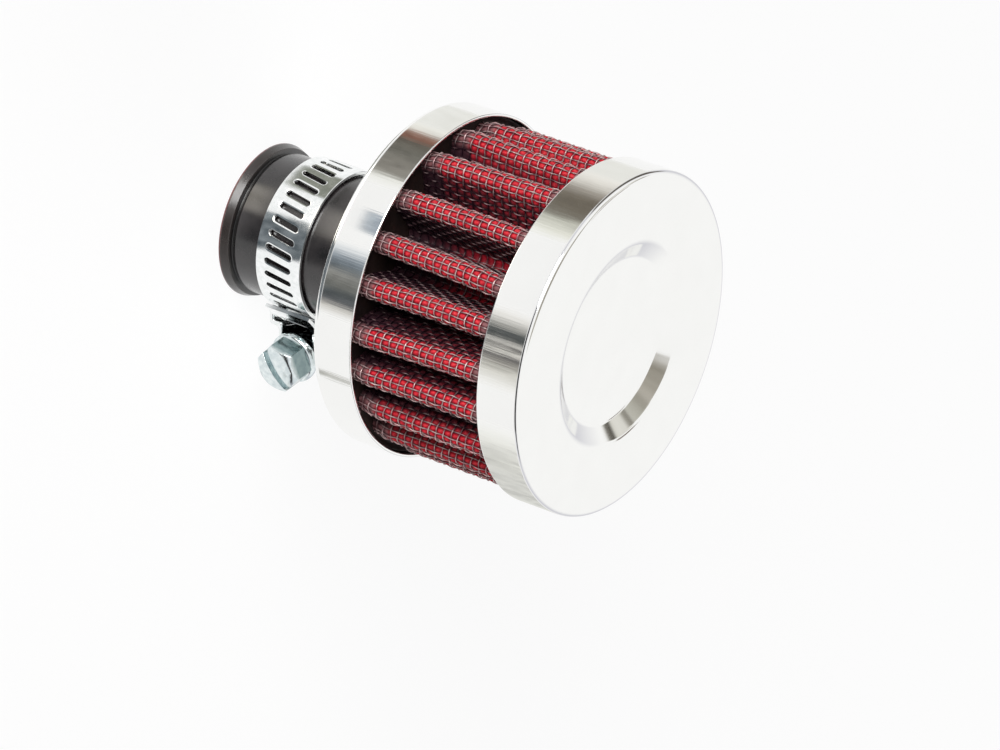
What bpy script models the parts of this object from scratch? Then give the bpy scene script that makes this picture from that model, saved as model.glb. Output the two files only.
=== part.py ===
"""Clamp-on crankcase breather filter.

A pleated gauze element, held between two wire screens, is potted into a pressed metal cap at each
end. A moulded rubber neck passes through the rear cap and slips over the vent pipe, and a slotted
band with a worm screw tightens it there.

The origin is on the filter's axis at the open end of the neck, and +Z runs to the front cap.
"""

import math

import bmesh
import bpy
from mathutils import Matrix, Vector

# Lengths in metres.
# Gap left between pieces that touch on the real filter.
SEAT_GAP = 0.0003

# Rubber neck.
BORE_RADIUS = 0.0060
NECK_RADIUS = 0.0105
NECK_LENGTH = 0.0269
LIP_FLARE = 0.00094
LIP_LENGTH = 0.0021
LIP_RUNOUT = 0.0005
LIP_EDGE = 0.0003
BORE_CHAMFER = 0.0005
NECK_FLANGE_WIDTH = 0.0025
NECK_FLANGE_THICKNESS = 0.0020

# Pressed caps.
CAP_RADIUS = 0.0255
CAP_WALL = 0.0005
CAP_CORNER = 0.0008
REAR_CAP_HEIGHT = 0.0068
FRONT_CAP_HEIGHT = 0.0072
EXPOSED_ELEMENT = 0.0216
RECESS_RADIUS = 0.0146
RECESS_FLOOR_RADIUS = 0.0125
RECESS_DEPTH = 0.0022
RECESS_ROUNDING = 0.0006

# Potting compound that the pleat ends are set in.
REAR_POTTING_DEPTH = 0.0033
FRONT_POTTING_FLOOR = 0.0019

# Pleated element, from the outer screen inwards.
PLEAT_COUNT = 21
PLEAT_TURN = 5.4
ELEMENT_CLEARANCE = 0.0004
SCREEN_THICKNESS = 0.00028
GAUZE_THICKNESS = 0.00075
LAYER_GAP = 0.00015
INNER_FOLD_RADIUS = 0.00012
VALLEY_RADIUS = 0.0007
CREST_FACETS = 4
VALLEY_FACETS = 2

# Wires of the outer screen that stand proud along each flank, and its open cells on each crest.
RIDGES_PER_FLANK = 3
RIDGE_HEIGHT = 0.00016
RIDGE_WIDTH = 0.0004
CELLS_PER_CREST = 5
CELL_WIDTH = 0.0020
CELL_BAR = 0.0008
CELL_MARGIN = 0.0005

# Slotted clamp band. Angles are in degrees about the filter's axis, from +X towards +Y.
BAND_BORE_GAP = 0.0003
BAND_WIDTH = 0.0077
BAND_THICKNESS = 0.00055
BAND_START = 0.0066
BAND_LAYER_GAP = 0.0002
SLOT_PITCH = 0.00194
SLOT_LENGTH = 0.0045
SLOT_WIDTH = 0.0008
SLOT_SKEW = 9.0
SLOT_END_FACETS = 2
BAND_FIXED_END = 62.0
BAND_TAIL_END = -11.0
TAIL_LIFT = 0.0001
BAND_RAMP = 24.0
BAND_RAMP_MARGIN = 2.0
UNSLOTTED_START = 30.0
UNSLOTTED_TAIL = 6.0

# Worm housing, pressed from one strip.
HOUSING_ANGLE = 37.0
HOUSING_LENGTH = 0.0132
HOUSING_SHIFT = 0.0006
HOUSING_WALL = 0.0007
SADDLE_THICKNESS = 0.0006
WORM_CLEARANCE = 0.0003

# Worm screw, measured outwards along its axis from the middle of the housing.
WORM_RADIUS = 0.0023
WORM_BAND_GAP = 0.0005
WORM_INNER_END = 0.0056
SCREW_NECK_RADIUS = 0.0019
FLANGE_RADIUS = 0.0038
FLANGE_THICKNESS = 0.0012
HEX_ACROSS_FLATS = 0.00635
HEX_HEIGHT = 0.0042
HEX_DOME = 0.0007
DRIVER_SLOT_WIDTH = 0.0010
DRIVER_SLOT_DEPTH = 0.0015
HEAD_TURN = 20.0

# Facets round a turned piece, and round the small turned pieces of the clamp.
TURN_STEPS = 40
SMALL_TURN_STEPS = 24

# Heights along the axis and radii that follow from the sizes above.
LIP_RADIUS = NECK_RADIUS + LIP_FLARE
NECK_FLANGE_RADIUS = NECK_RADIUS + NECK_FLANGE_WIDTH
REAR_CAP_FACE = NECK_LENGTH
REAR_CAP_RIM = REAR_CAP_FACE + REAR_CAP_HEIGHT
FRONT_CAP_RIM = REAR_CAP_RIM + EXPOSED_ELEMENT
FRONT_CAP_FACE = FRONT_CAP_RIM + FRONT_CAP_HEIGHT
CAP_INNER_RADIUS = CAP_RADIUS - CAP_WALL
ELEMENT_RADIUS = CAP_INNER_RADIUS - ELEMENT_CLEARANCE
REAR_SEAT = REAR_CAP_FACE + CAP_WALL + SEAT_GAP
REAR_POTTING_TOP = REAR_SEAT + REAR_POTTING_DEPTH
FRONT_SEAT = FRONT_CAP_FACE - CAP_WALL - SEAT_GAP
RECESS_SEAT = FRONT_SEAT - RECESS_DEPTH
FRONT_POTTING_BOTTOM = RECESS_SEAT - FRONT_POTTING_FLOOR
ELEMENT_BOTTOM = REAR_POTTING_TOP + SEAT_GAP
ELEMENT_TOP = FRONT_POTTING_BOTTOM - SEAT_GAP
POTTING_RADIUS = CAP_INNER_RADIUS - SEAT_GAP

# Depth of each layer of the element below the outer face of the outer screen.
GAUZE_DEPTH = SCREEN_THICKNESS + LAYER_GAP
INNER_SCREEN_DEPTH = GAUZE_DEPTH + GAUZE_THICKNESS + LAYER_GAP
ELEMENT_THICKNESS = INNER_SCREEN_DEPTH + SCREEN_THICKNESS
CREST_RADIUS = ELEMENT_THICKNESS + INNER_FOLD_RADIUS
CREST_CENTRE = ELEMENT_RADIUS - CREST_RADIUS
PLEAT_HALF_ANGLE = 180.0 / PLEAT_COUNT
VALLEY_CENTRE = (CREST_RADIUS + VALLEY_RADIUS) / math.sin(math.radians(PLEAT_HALF_ANGLE))

BAND_CENTRE = BAND_START + BAND_WIDTH / 2
BAND_INNER_LAYER = NECK_RADIUS + BAND_BORE_GAP + BAND_THICKNESS / 2
SADDLE_RADIUS = BAND_INNER_LAYER + BAND_THICKNESS / 2 + BAND_LAYER_GAP
BAND_OUTER_LAYER = SADDLE_RADIUS + SADDLE_THICKNESS + BAND_LAYER_GAP + BAND_THICKNESS / 2
BAND_TAIL_RADIUS = BAND_INNER_LAYER + BAND_THICKNESS + BAND_LAYER_GAP + TAIL_LIFT
BAND_WAY_TOP = BAND_OUTER_LAYER + BAND_THICKNESS / 2 + 2 * BAND_LAYER_GAP
SCREW_AXIS_RADIUS = BAND_OUTER_LAYER + BAND_THICKNESS / 2 + WORM_BAND_GAP + WORM_RADIUS
HOUSING_OUTER_END = HOUSING_LENGTH / 2 + HOUSING_SHIFT
FLANGE_SEAT = HOUSING_OUTER_END + SEAT_GAP


def start_scene():
    """Empty the scene and add one collection for the filter and one for the cutters."""
    for old in list(bpy.data.objects):
        bpy.data.objects.remove(old, do_unlink=True)
    made = {}
    for name in ("breather_filter", "cutters"):
        made[name] = bpy.data.collections.new(name)
        bpy.context.scene.collection.children.link(made[name])
    return made["breather_filter"], made["cutters"]


PART, CUTTERS = start_scene()


def material(name, colour, metallic, roughness):
    """A Principled material of one finish."""
    made = bpy.data.materials.new(name)
    made.use_nodes = True
    shader = made.node_tree.nodes["Principled BSDF"]
    shader.inputs["Base Color"].default_value = (*colour, 1.0)
    shader.inputs["Metallic"].default_value = metallic
    shader.inputs["Roughness"].default_value = roughness
    made.diffuse_color = (*colour, 1.0)
    return made


CHROME = material("chromed_steel", (0.80, 0.80, 0.79), 1.0, 0.12)
ZINC = material("zinc_plated_steel", (0.66, 0.68, 0.70), 1.0, 0.28)
ZINC_BLUE = material("blue_zinc_steel", (0.55, 0.61, 0.64), 1.0, 0.30)
RUBBER = material("moulded_rubber", (0.030, 0.026, 0.026), 0.0, 0.60)
POTTING = material("potting_compound", (0.045, 0.030, 0.028), 0.0, 0.70)
GAUZE = material("oiled_cotton_gauze", (0.42, 0.008, 0.015), 0.0, 0.75)
WIRE = material("coated_wire", (0.36, 0.30, 0.29), 0.7, 0.45)


def add_object(name, data, collection=PART, finish=None):
    """Link a new object that holds this mesh or curve."""
    made = bpy.data.objects.new(name, data)
    collection.objects.link(made)
    if finish:
        data.materials.append(finish)
    if collection is CUTTERS:
        made.hide_render = True
        made.display_type = "WIRE"
    return made


def arc(centre, radius, start, end, facets):
    """Points round a centre from one angle to another, in degrees, both ends included."""
    angles = [math.radians(start + (end - start) * i / facets) for i in range(facets + 1)]
    return [
        (centre[0] + radius * math.cos(a), centre[1] + radius * math.sin(a)) for a in angles
    ]


def turned(name, profile, closed, collection=PART, finish=None, wall=None, steps=TURN_STEPS):
    """Turn a profile of (radius, height) points about Z, as a solid or as a sheet with a wall."""
    mesh = bpy.data.meshes.new(name)
    edges = [(i, i + 1) for i in range(len(profile) - 1)]
    if closed:
        edges.append((len(profile) - 1, 0))
    mesh.from_pydata([(r, 0.0, z) for r, z in profile], edges, [])
    made = add_object(name, mesh, collection, finish)
    screw = made.modifiers.new("turn", "SCREW")
    screw.axis = "Z"
    screw.angle = math.tau
    screw.steps = steps
    screw.render_steps = steps
    screw.use_merge_vertices = True
    screw.merge_threshold = 1e-6
    screw.use_smooth_shade = True
    if wall:
        solidify = made.modifiers.new("wall", "SOLIDIFY")
        solidify.thickness = wall
        solidify.offset = -1.0
        solidify.use_even_offset = True
    return made


def flat_shape(name, outlines, half_height, matrix=Matrix(), collection=PART, finish=None):
    """A mesh of the area between closed outlines, thickened both ways along its local Z."""
    curve = bpy.data.curves.new(name, "CURVE")
    curve.dimensions = "2D"
    curve.fill_mode = "BOTH"
    curve.extrude = half_height
    for outline in outlines:
        spline = curve.splines.new("POLY")
        spline.points.add(len(outline) - 1)
        for point, (x, y) in zip(spline.points, outline):
            point.co = (x, y, 0.0, 1.0)
        spline.use_cyclic_u = True
    source = add_object(name + "_curve", curve)
    bpy.context.view_layer.update()
    graph = bpy.context.evaluated_depsgraph_get()
    mesh = bpy.data.meshes.new_from_object(source.evaluated_get(graph))
    bpy.data.objects.remove(source, do_unlink=True)
    bpy.data.curves.remove(curve)
    cage = bmesh.new()
    cage.from_mesh(mesh)
    bmesh.ops.remove_doubles(cage, verts=cage.verts, dist=1e-6)
    bmesh.ops.recalc_face_normals(cage, faces=cage.faces)
    cage.to_mesh(mesh)
    cage.free()
    mesh.transform(matrix)
    mesh.materials.clear()
    mesh.name = name
    return add_object(name, mesh, collection, finish)


def boxes(name, size, matrices):
    """One cutter made of equal boxes, each at its own matrix."""
    cage = bmesh.new()
    for matrix in matrices:
        bmesh.ops.create_cube(cage, size=1.0, matrix=matrix @ Matrix.Diagonal((*size, 1.0)))
    mesh = bpy.data.meshes.new(name)
    cage.to_mesh(mesh)
    cage.free()
    return add_object(name, mesh, CUTTERS)


def combine(target, other, operation):
    """Add an exact Boolean of the other object to the target."""
    modifier = target.modifiers.new(other.name, "BOOLEAN")
    modifier.operation = operation
    modifier.solver = "EXACT"
    modifier.object = other


def polar(radius, degrees, height=0.0):
    """A point at this distance and angle about the filter's axis."""
    angle = math.radians(degrees)
    return Vector((radius * math.cos(angle), radius * math.sin(angle), height))


def rubber_neck():
    """A tube with a trumpet lip at its open end and a flange that the rear cap is held by."""
    flange_top = REAR_SEAT + NECK_FLANGE_THICKNESS
    profile = [(BORE_RADIUS, flange_top), (NECK_FLANGE_RADIUS, flange_top)]
    profile += [(NECK_FLANGE_RADIUS, REAR_SEAT), (NECK_RADIUS, REAR_SEAT)]
    profile += [(NECK_RADIUS, LIP_LENGTH + LIP_RUNOUT), (NECK_RADIUS - LIP_EDGE / 2, LIP_LENGTH)]
    lip_centre = (LIP_RADIUS - LIP_EDGE, LIP_EDGE)
    profile += arc(lip_centre, LIP_EDGE, 45.0, -90.0, 3)
    profile += [(BORE_RADIUS + BORE_CHAMFER, 0.0), (BORE_RADIUS, BORE_CHAMFER)]
    return turned("rubber_neck", profile, closed=True, finish=RUBBER)


def rear_cap():
    """A pressed cup that opens forwards, with a hole for the neck."""
    corner = (CAP_RADIUS - CAP_CORNER, REAR_CAP_FACE + CAP_CORNER)
    profile = [(CAP_RADIUS, REAR_CAP_RIM)]
    profile += arc(corner, CAP_CORNER, 0.0, -90.0, 2)
    profile += [(NECK_RADIUS + SEAT_GAP, REAR_CAP_FACE)]
    return turned("rear_cap", profile, closed=False, finish=CHROME, wall=CAP_WALL)


def recess_profile(face, floor_radius, rim_radius):
    """The dished middle of the front face, from the axis out to the start of its flat rim."""
    slope = math.degrees(math.atan2(RECESS_DEPTH, rim_radius - floor_radius))
    bend = RECESS_ROUNDING * math.tan(math.radians(slope) / 2)
    low = (floor_radius - bend, face - RECESS_DEPTH + RECESS_ROUNDING)
    high = (rim_radius + bend, face - RECESS_ROUNDING)
    profile = [(0.0, face - RECESS_DEPTH)]
    profile += arc(low, RECESS_ROUNDING, -90.0, slope - 90.0, 2)
    profile += arc(high, RECESS_ROUNDING, slope + 90.0, 90.0, 2)
    return profile


def front_cap():
    """A pressed cup that opens backwards, with a round dished recess in its face."""
    corner = (CAP_RADIUS - CAP_CORNER, FRONT_CAP_FACE - CAP_CORNER)
    profile = recess_profile(FRONT_CAP_FACE, RECESS_FLOOR_RADIUS, RECESS_RADIUS)
    profile += arc(corner, CAP_CORNER, 90.0, 0.0, 2)
    profile += [(CAP_RADIUS, FRONT_CAP_RIM)]
    return turned("front_cap", profile, closed=False, finish=CHROME, wall=CAP_WALL)


def rear_potting():
    """The ring of compound between the neck's flange and the rear cap's skirt."""
    inner = NECK_FLANGE_RADIUS + SEAT_GAP
    outer = POTTING_RADIUS
    corner = CAP_CORNER
    profile = [(inner, REAR_POTTING_TOP), (outer, REAR_POTTING_TOP), (outer, REAR_SEAT + corner)]
    profile += [(outer - corner, REAR_SEAT), (inner, REAR_SEAT)]
    return turned("rear_potting", profile, closed=True, finish=POTTING)


def front_potting():
    """The disc of compound that fills the front cap, shaped to the back of its recess."""
    shift = CAP_WALL + SEAT_GAP
    top = [(0.0, RECESS_SEAT), (RECESS_FLOOR_RADIUS + shift, RECESS_SEAT)]
    top += [(RECESS_RADIUS + shift, FRONT_SEAT), (POTTING_RADIUS - CAP_CORNER, FRONT_SEAT)]
    side = [(POTTING_RADIUS, FRONT_SEAT - CAP_CORNER), (POTTING_RADIUS, FRONT_POTTING_BOTTOM)]
    profile = top + side + [(0.0, FRONT_POTTING_BOTTOM)]
    return turned("front_potting", profile, closed=False, finish=POTTING)


def flank_ridges(start, end, outward):
    """Points of the wire ridges along one straight flank, without the flank's own ends."""
    along = (end - start).normalized()
    points = []
    for i in range(RIDGES_PER_FLANK):
        middle = start.lerp(end, (i + 0.5) / RIDGES_PER_FLANK)
        foot = along * RIDGE_WIDTH / 2
        points += [middle - foot, middle + outward * RIDGE_HEIGHT, middle + foot]
    return points


def pleat_outline(depth, ridges=False):
    """The closed outline of the folded wall at this depth below its outer face.

    Each crest is a half circle and each valley an arc about its own centre, so outlines of
    different depths stay parallel. The flanks between them run straight.
    """
    crest_radius = CREST_RADIUS - depth
    valley_radius = VALLEY_RADIUS + depth
    points = []
    for i in range(PLEAT_COUNT):
        here = PLEAT_TURN + 2 * PLEAT_HALF_ANGLE * i
        onward = here + 2 * PLEAT_HALF_ANGLE
        crest = polar(CREST_CENTRE, here)
        valley = polar(VALLEY_CENTRE, here + PLEAT_HALF_ANGLE)
        rising = polar(1.0, here - 90.0)
        falling = polar(1.0, here + 90.0)
        crest_arc = arc(crest, crest_radius, here - 90.0, here + 90.0, CREST_FACETS)
        valley_arc = arc(valley, valley_radius, here + 270.0, onward + 90.0, VALLEY_FACETS)
        if ridges:
            before = polar(VALLEY_CENTRE, here - PLEAT_HALF_ANGLE) - rising * valley_radius
            foot = Vector((*valley_arc[0], 0.0))
            top = [Vector((*crest_arc[0], 0.0)), Vector((*crest_arc[-1], 0.0))]
            points += [p.xy for p in flank_ridges(before, top[0], rising)]
            points += crest_arc
            points += [p.xy for p in flank_ridges(top[1], foot, falling)]
        else:
            points += crest_arc
        points += valley_arc
    return points


def pleated_wall(name, depth, thickness, finish, ridges=False):
    """One folded layer of the element, upright between the two pottings."""
    outlines = [pleat_outline(depth, ridges), pleat_outline(depth + thickness)]
    middle = Matrix.Translation((0.0, 0.0, (ELEMENT_BOTTOM + ELEMENT_TOP) / 2))
    half_height = (ELEMENT_TOP - ELEMENT_BOTTOM) / 2
    return flat_shape(name, outlines, half_height, middle, finish=finish)


def open_cells(screen):
    """Cut a column of open cells through the crest of every pleat, with bars left between them."""
    first = REAR_CAP_RIM + CELL_MARGIN
    room = EXPOSED_ELEMENT - 2 * CELL_MARGIN - (CELLS_PER_CREST - 1) * CELL_BAR
    height = room / CELLS_PER_CREST
    reach = 2 * CREST_RADIUS
    matrices = []
    for i in range(PLEAT_COUNT):
        turn = Matrix.Rotation(math.radians(PLEAT_TURN + 2 * PLEAT_HALF_ANGLE * i), 4, "Z")
        for j in range(CELLS_PER_CREST):
            middle = first + height / 2 + j * (height + CELL_BAR)
            matrices.append(turn @ Matrix.Translation((CREST_CENTRE + reach / 2, 0.0, middle)))
    combine(screen, boxes("cell_cutter", (reach, CELL_WIDTH, height), matrices), "DIFFERENCE")
    return screen


def band_radius(degrees):
    """The strip's middle radius, after running this far back from its fixed end.

    It goes once round the neck, climbs through the housing over its own start, and comes down
    again to the tail.
    """
    entry = 360.0 - BAND_RAMP - BAND_RAMP_MARGIN
    length = 360.0 + BAND_FIXED_END - BAND_TAIL_END
    leave = 360.0 + BAND_FIXED_END - HOUSING_ANGLE
    leave += math.degrees(math.atan2(HOUSING_OUTER_END, BAND_OUTER_LAYER))
    stations = [
        (0.0, BAND_INNER_LAYER),
        (entry, BAND_INNER_LAYER),
        (entry + BAND_RAMP, BAND_OUTER_LAYER),
        (leave, BAND_OUTER_LAYER),
        (length, BAND_TAIL_RADIUS),
    ]
    for (low, inside), (high, outside) in zip(stations, stations[1:]):
        if degrees <= high:
            share = (degrees - low) / (high - low)
            eased = share * share * (3.0 - 2.0 * share)
            return inside + (outside - inside) * eased
    return BAND_TAIL_RADIUS


def slot_outline():
    """A slot with round ends, along local Y."""
    half = (SLOT_LENGTH - SLOT_WIDTH) / 2
    upper = arc((0.0, half), SLOT_WIDTH / 2, 0.0, 180.0, SLOT_END_FACETS)
    lower = arc((0.0, -half), SLOT_WIDTH / 2, 180.0, 360.0, SLOT_END_FACETS)
    return upper + lower


def slot_cutter(places):
    """One cutter made of a skewed slot prism at each matrix."""
    cage = bmesh.new()
    for place in places:
        corners = [
            cage.verts.new(place @ Vector((x, y, -BAND_THICKNESS))) for x, y in slot_outline()
        ]
        face = cage.faces.new(corners)
        raised = bmesh.ops.extrude_face_region(cage, geom=[face])["geom"]
        lift = place.to_3x3() @ Vector((0.0, 0.0, 2 * BAND_THICKNESS))
        moved = [item for item in raised if isinstance(item, bmesh.types.BMVert)]
        bmesh.ops.translate(cage, vec=lift, verts=moved)
    bmesh.ops.recalc_face_normals(cage, faces=cage.faces)
    mesh = bpy.data.meshes.new("slot_cutter")
    cage.to_mesh(mesh)
    cage.free()
    return add_object("slot_cutter", mesh, CUTTERS)


def clamp_band():
    """A slotted strip wound once round the neck and on over its own start."""
    step = math.degrees(SLOT_PITCH / BAND_INNER_LAYER)
    length = 360.0 + BAND_FIXED_END - BAND_TAIL_END
    count = round(length / step)
    path = [polar(band_radius(i * step), BAND_FIXED_END - i * step) for i in range(count + 1)]
    up = Vector((0.0, 0.0, BAND_WIDTH))
    cage = bmesh.new()
    line = [cage.verts.new(p + Vector((0.0, 0.0, BAND_START))) for p in path]
    edges = [cage.edges.new(pair) for pair in zip(line, line[1:])]
    raised = bmesh.ops.extrude_edge_only(cage, edges=edges)["geom"]
    moved = [item for item in raised if isinstance(item, bmesh.types.BMVert)]
    bmesh.ops.translate(cage, vec=up, verts=moved)
    mesh = bpy.data.meshes.new("clamp_band")
    cage.to_mesh(mesh)
    cage.free()
    band = add_object("clamp_band", mesh, finish=ZINC)
    solidify = band.modifiers.new("strip", "SOLIDIFY")
    solidify.thickness = BAND_THICKNESS
    solidify.offset = 0.0
    solidify.use_even_offset = True

    places = []
    for i in range(count):
        if i * step < UNSLOTTED_START or (i + 1) * step > length - UNSLOTTED_TAIL:
            continue
        start, end = path[i], path[i + 1]
        along = (start - end).normalized()
        axial = Vector((0.0, 0.0, 1.0))
        outward = along.cross(axial)
        frame = Matrix((along, axial, outward)).transposed().to_4x4()
        middle = (start + end) / 2 + Vector((0.0, 0.0, BAND_CENTRE))
        skew = Matrix.Rotation(math.radians(-SLOT_SKEW), 4, "Z")
        places.append(Matrix.Translation(middle) @ frame @ skew)
    combine(band, slot_cutter(places), "DIFFERENCE")
    return band


def clamp_frame(outward_shift=0.0):
    """Local Z along the worm, out through its head; local X forwards; origin on the filter's axis."""
    angle = math.radians(HOUSING_ANGLE)
    along = Vector((math.sin(angle), -math.cos(angle), 0.0))
    radial = polar(1.0, HOUSING_ANGLE)
    forwards = Vector((0.0, 0.0, 1.0))
    turn = Matrix((forwards, -radial, along)).transposed().to_4x4()
    place = radial * outward_shift + forwards * BAND_CENTRE
    return Matrix.Translation(place) @ turn


def housing_outline():
    """The block that the housing is cut from, seen along the worm, with the arch on its top."""
    arch = WORM_RADIUS + WORM_CLEARANCE + HOUSING_WALL
    side = BAND_WIDTH / 2 + SEAT_GAP + HOUSING_WALL
    foot = math.sqrt(SADDLE_RADIUS**2 - HOUSING_OUTER_END**2) - HOUSING_WALL
    outline = [(-side, -foot), (-side, -SCREW_AXIS_RADIUS)]
    outline += arc((0.0, -SCREW_AXIS_RADIUS), arch, 180.0, 360.0, 8)
    return outline + [(side, -SCREW_AXIS_RADIUS), (side, -foot)]


def ring_cutter(name, inner, outer, bottom, top):
    """A cutter shaped like a ring about the filter's axis, or a disc where inner is zero."""
    if inner:
        profile = [(inner, top), (outer, top), (outer, bottom), (inner, bottom)]
        return turned(name, profile, closed=True, collection=CUTTERS)
    profile = [(0.0, top), (outer, top), (outer, bottom), (0.0, bottom)]
    return turned(name, profile, closed=False, collection=CUTTERS)


def clamp_housing():
    """One pressed saddle over the band, with the tunnel that the worm turns in.

    The saddle, the band's way and the shoulders above it are all curved about the filter's axis.
    """
    middle = clamp_frame() @ Matrix.Translation((0.0, 0.0, HOUSING_SHIFT))
    housing = flat_shape(
        "clamp_housing", [housing_outline()], HOUSING_LENGTH / 2, middle, finish=ZINC
    )
    far = 2 * SCREW_AXIS_RADIUS
    low = BAND_CENTRE - BAND_WIDTH
    high = BAND_CENTRE + BAND_WIDTH
    way_half = BAND_WIDTH / 2 + SEAT_GAP
    tunnel_radius = WORM_RADIUS + WORM_CLEARANCE
    arch = tunnel_radius + HOUSING_WALL
    shoulder = BAND_WAY_TOP + HOUSING_WALL
    way_bottom = SADDLE_RADIUS + SADDLE_THICKNESS
    way_ends = (BAND_CENTRE - way_half, BAND_CENTRE + way_half)

    tunnel_profile = [(0.0, HOUSING_LENGTH), (tunnel_radius, HOUSING_LENGTH)]
    tunnel_profile += [(tunnel_radius, -HOUSING_LENGTH), (0.0, -HOUSING_LENGTH)]
    tunnel = turned(
        "tunnel_cutter",
        tunnel_profile,
        closed=False,
        collection=CUTTERS,
        steps=SMALL_TURN_STEPS,
    )
    tunnel.matrix_world = clamp_frame(SCREW_AXIS_RADIUS)

    # The worm's room reaches down to the band all along the tunnel, as wide as the worm.
    room_depth = SCREW_AXIS_RADIUS / 2
    room_place = clamp_frame(SCREW_AXIS_RADIUS - room_depth / 2)
    room = boxes("worm_room_cutter", (2 * WORM_RADIUS, room_depth, far), [room_place])
    band_middle = ring_cutter("band_middle_cutter", 0.0, BAND_OUTER_LAYER, low, high)
    combine(room, band_middle, "DIFFERENCE")

    for cutter in (
        ring_cutter("saddle_cutter", 0.0, SADDLE_RADIUS, low, high),
        ring_cutter("band_way_cutter", way_bottom, BAND_WAY_TOP, *way_ends),
        ring_cutter("front_shoulder_cutter", shoulder, far, BAND_CENTRE + arch, high),
        ring_cutter("rear_shoulder_cutter", shoulder, far, low, BAND_CENTRE - arch),
        room,
        tunnel,
    ):
        combine(housing, cutter, "DIFFERENCE")
    return housing


def clamp_screw():
    """A plain worm with a flanged hexagon head, domed and slotted for a driver."""
    place = clamp_frame(SCREW_AXIS_RADIUS)
    head_start = FLANGE_SEAT + FLANGE_THICKNESS
    head_end = head_start + HEX_HEIGHT
    corner_radius = HEX_ACROSS_FLATS / math.sqrt(3.0)

    cage = bmesh.new()
    bmesh.ops.create_cone(
        cage,
        cap_ends=True,
        segments=6,
        radius1=corner_radius,
        radius2=corner_radius,
        depth=HEX_HEIGHT + FLANGE_THICKNESS / 2,
        matrix=Matrix.Translation((0.0, 0.0, head_end - (HEX_HEIGHT + FLANGE_THICKNESS / 2) / 2))
        @ Matrix.Rotation(math.radians(HEAD_TURN), 4, "Z"),
    )
    mesh = bpy.data.meshes.new("clamp_screw")
    cage.to_mesh(mesh)
    cage.free()
    screw = add_object("clamp_screw", mesh, finish=ZINC_BLUE)
    screw.matrix_world = place

    # The dome ends just outside the hexagon's corners, so only its top bites into the head.
    rim = corner_radius + SEAT_GAP
    dome_radius = (rim**2 + HEX_DOME**2) / (2 * HEX_DOME)
    spread = math.degrees(math.asin(rim / dome_radius))
    dome = arc((0.0, head_end - dome_radius), dome_radius, 90.0, 90.0 - spread, 3)
    envelope = turned(
        "head_dome_cutter",
        dome + [(dome[-1][0], FLANGE_SEAT), (0.0, FLANGE_SEAT)],
        closed=False,
        collection=CUTTERS,
        steps=SMALL_TURN_STEPS,
    )
    body = turned(
        "worm_and_flange_cutter",
        [
            (0.0, head_start),
            (FLANGE_RADIUS, head_start),
            (FLANGE_RADIUS, FLANGE_SEAT),
            (SCREW_NECK_RADIUS, FLANGE_SEAT),
            (SCREW_NECK_RADIUS, HOUSING_OUTER_END - HOUSING_WALL),
            (WORM_RADIUS, HOUSING_OUTER_END - 2 * HOUSING_WALL),
            (WORM_RADIUS, HOUSING_WALL - WORM_INNER_END),
            (WORM_RADIUS - HOUSING_WALL, -WORM_INNER_END),
            (0.0, -WORM_INNER_END),
        ],
        closed=False,
        collection=CUTTERS,
        steps=SMALL_TURN_STEPS,
    )
    slot = boxes(
        "driver_slot_cutter",
        (DRIVER_SLOT_WIDTH, 3 * HEX_ACROSS_FLATS, 2 * DRIVER_SLOT_DEPTH),
        [
            place
            @ Matrix.Translation((0.0, 0.0, head_end))
            @ Matrix.Rotation(math.radians(HEAD_TURN), 4, "Z")
        ],
    )
    envelope.matrix_world = place
    body.matrix_world = place
    combine(screw, envelope, "INTERSECT")
    combine(screw, body, "UNION")
    combine(screw, slot, "DIFFERENCE")
    return screw


rubber_neck()
rear_cap()
front_cap()
rear_potting()
front_potting()
pleated_wall("pleated_gauze", GAUZE_DEPTH, GAUZE_THICKNESS, GAUZE)
open_cells(pleated_wall("outer_screen", 0.0, SCREEN_THICKNESS, WIRE, ridges=True))
pleated_wall("inner_screen", INNER_SCREEN_DEPTH, SCREEN_THICKNESS, WIRE)
clamp_band()
clamp_housing()
clamp_screw()
bpy.context.view_layer.update()
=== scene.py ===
# %% [markdown]
# # A clamp-on crankcase breather filter
#
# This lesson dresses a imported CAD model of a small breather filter: a red pleated element under wire
# cloth, two chromed cups, a rubber neck and a worm-drive clamp. Each new piece is a surface worked out
# with numpy, and each finish is a few shader nodes. Cells explain first and build second.
#
# The filter stands on its neck, and its axis is Z. All sizes below are in millimetres, and the one
# function that fills a mesh turns them into metres.

# %% Load the frame
import math

import bpy
import numpy as np
from mathutils import Matrix, Vector


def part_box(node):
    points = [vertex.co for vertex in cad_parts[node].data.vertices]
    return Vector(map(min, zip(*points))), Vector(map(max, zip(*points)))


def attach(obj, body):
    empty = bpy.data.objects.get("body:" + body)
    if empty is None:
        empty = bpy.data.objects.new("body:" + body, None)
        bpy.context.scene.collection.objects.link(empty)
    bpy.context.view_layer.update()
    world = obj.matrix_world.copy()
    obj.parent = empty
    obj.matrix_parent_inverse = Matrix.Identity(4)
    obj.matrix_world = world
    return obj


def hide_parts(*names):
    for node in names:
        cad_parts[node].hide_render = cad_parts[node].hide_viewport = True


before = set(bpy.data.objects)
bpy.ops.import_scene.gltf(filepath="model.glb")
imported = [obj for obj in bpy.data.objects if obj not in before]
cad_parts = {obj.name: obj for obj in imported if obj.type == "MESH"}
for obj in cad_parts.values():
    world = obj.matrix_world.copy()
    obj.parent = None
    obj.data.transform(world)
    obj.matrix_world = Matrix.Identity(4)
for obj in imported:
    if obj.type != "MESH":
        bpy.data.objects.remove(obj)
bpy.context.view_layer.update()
MM = 0.001
TAU = 2 * math.pi


def heights(node):
    """Lowest and highest Z of a CAD node, in millimetres."""
    low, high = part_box(node)
    return low.z / MM, high.z / MM


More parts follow.
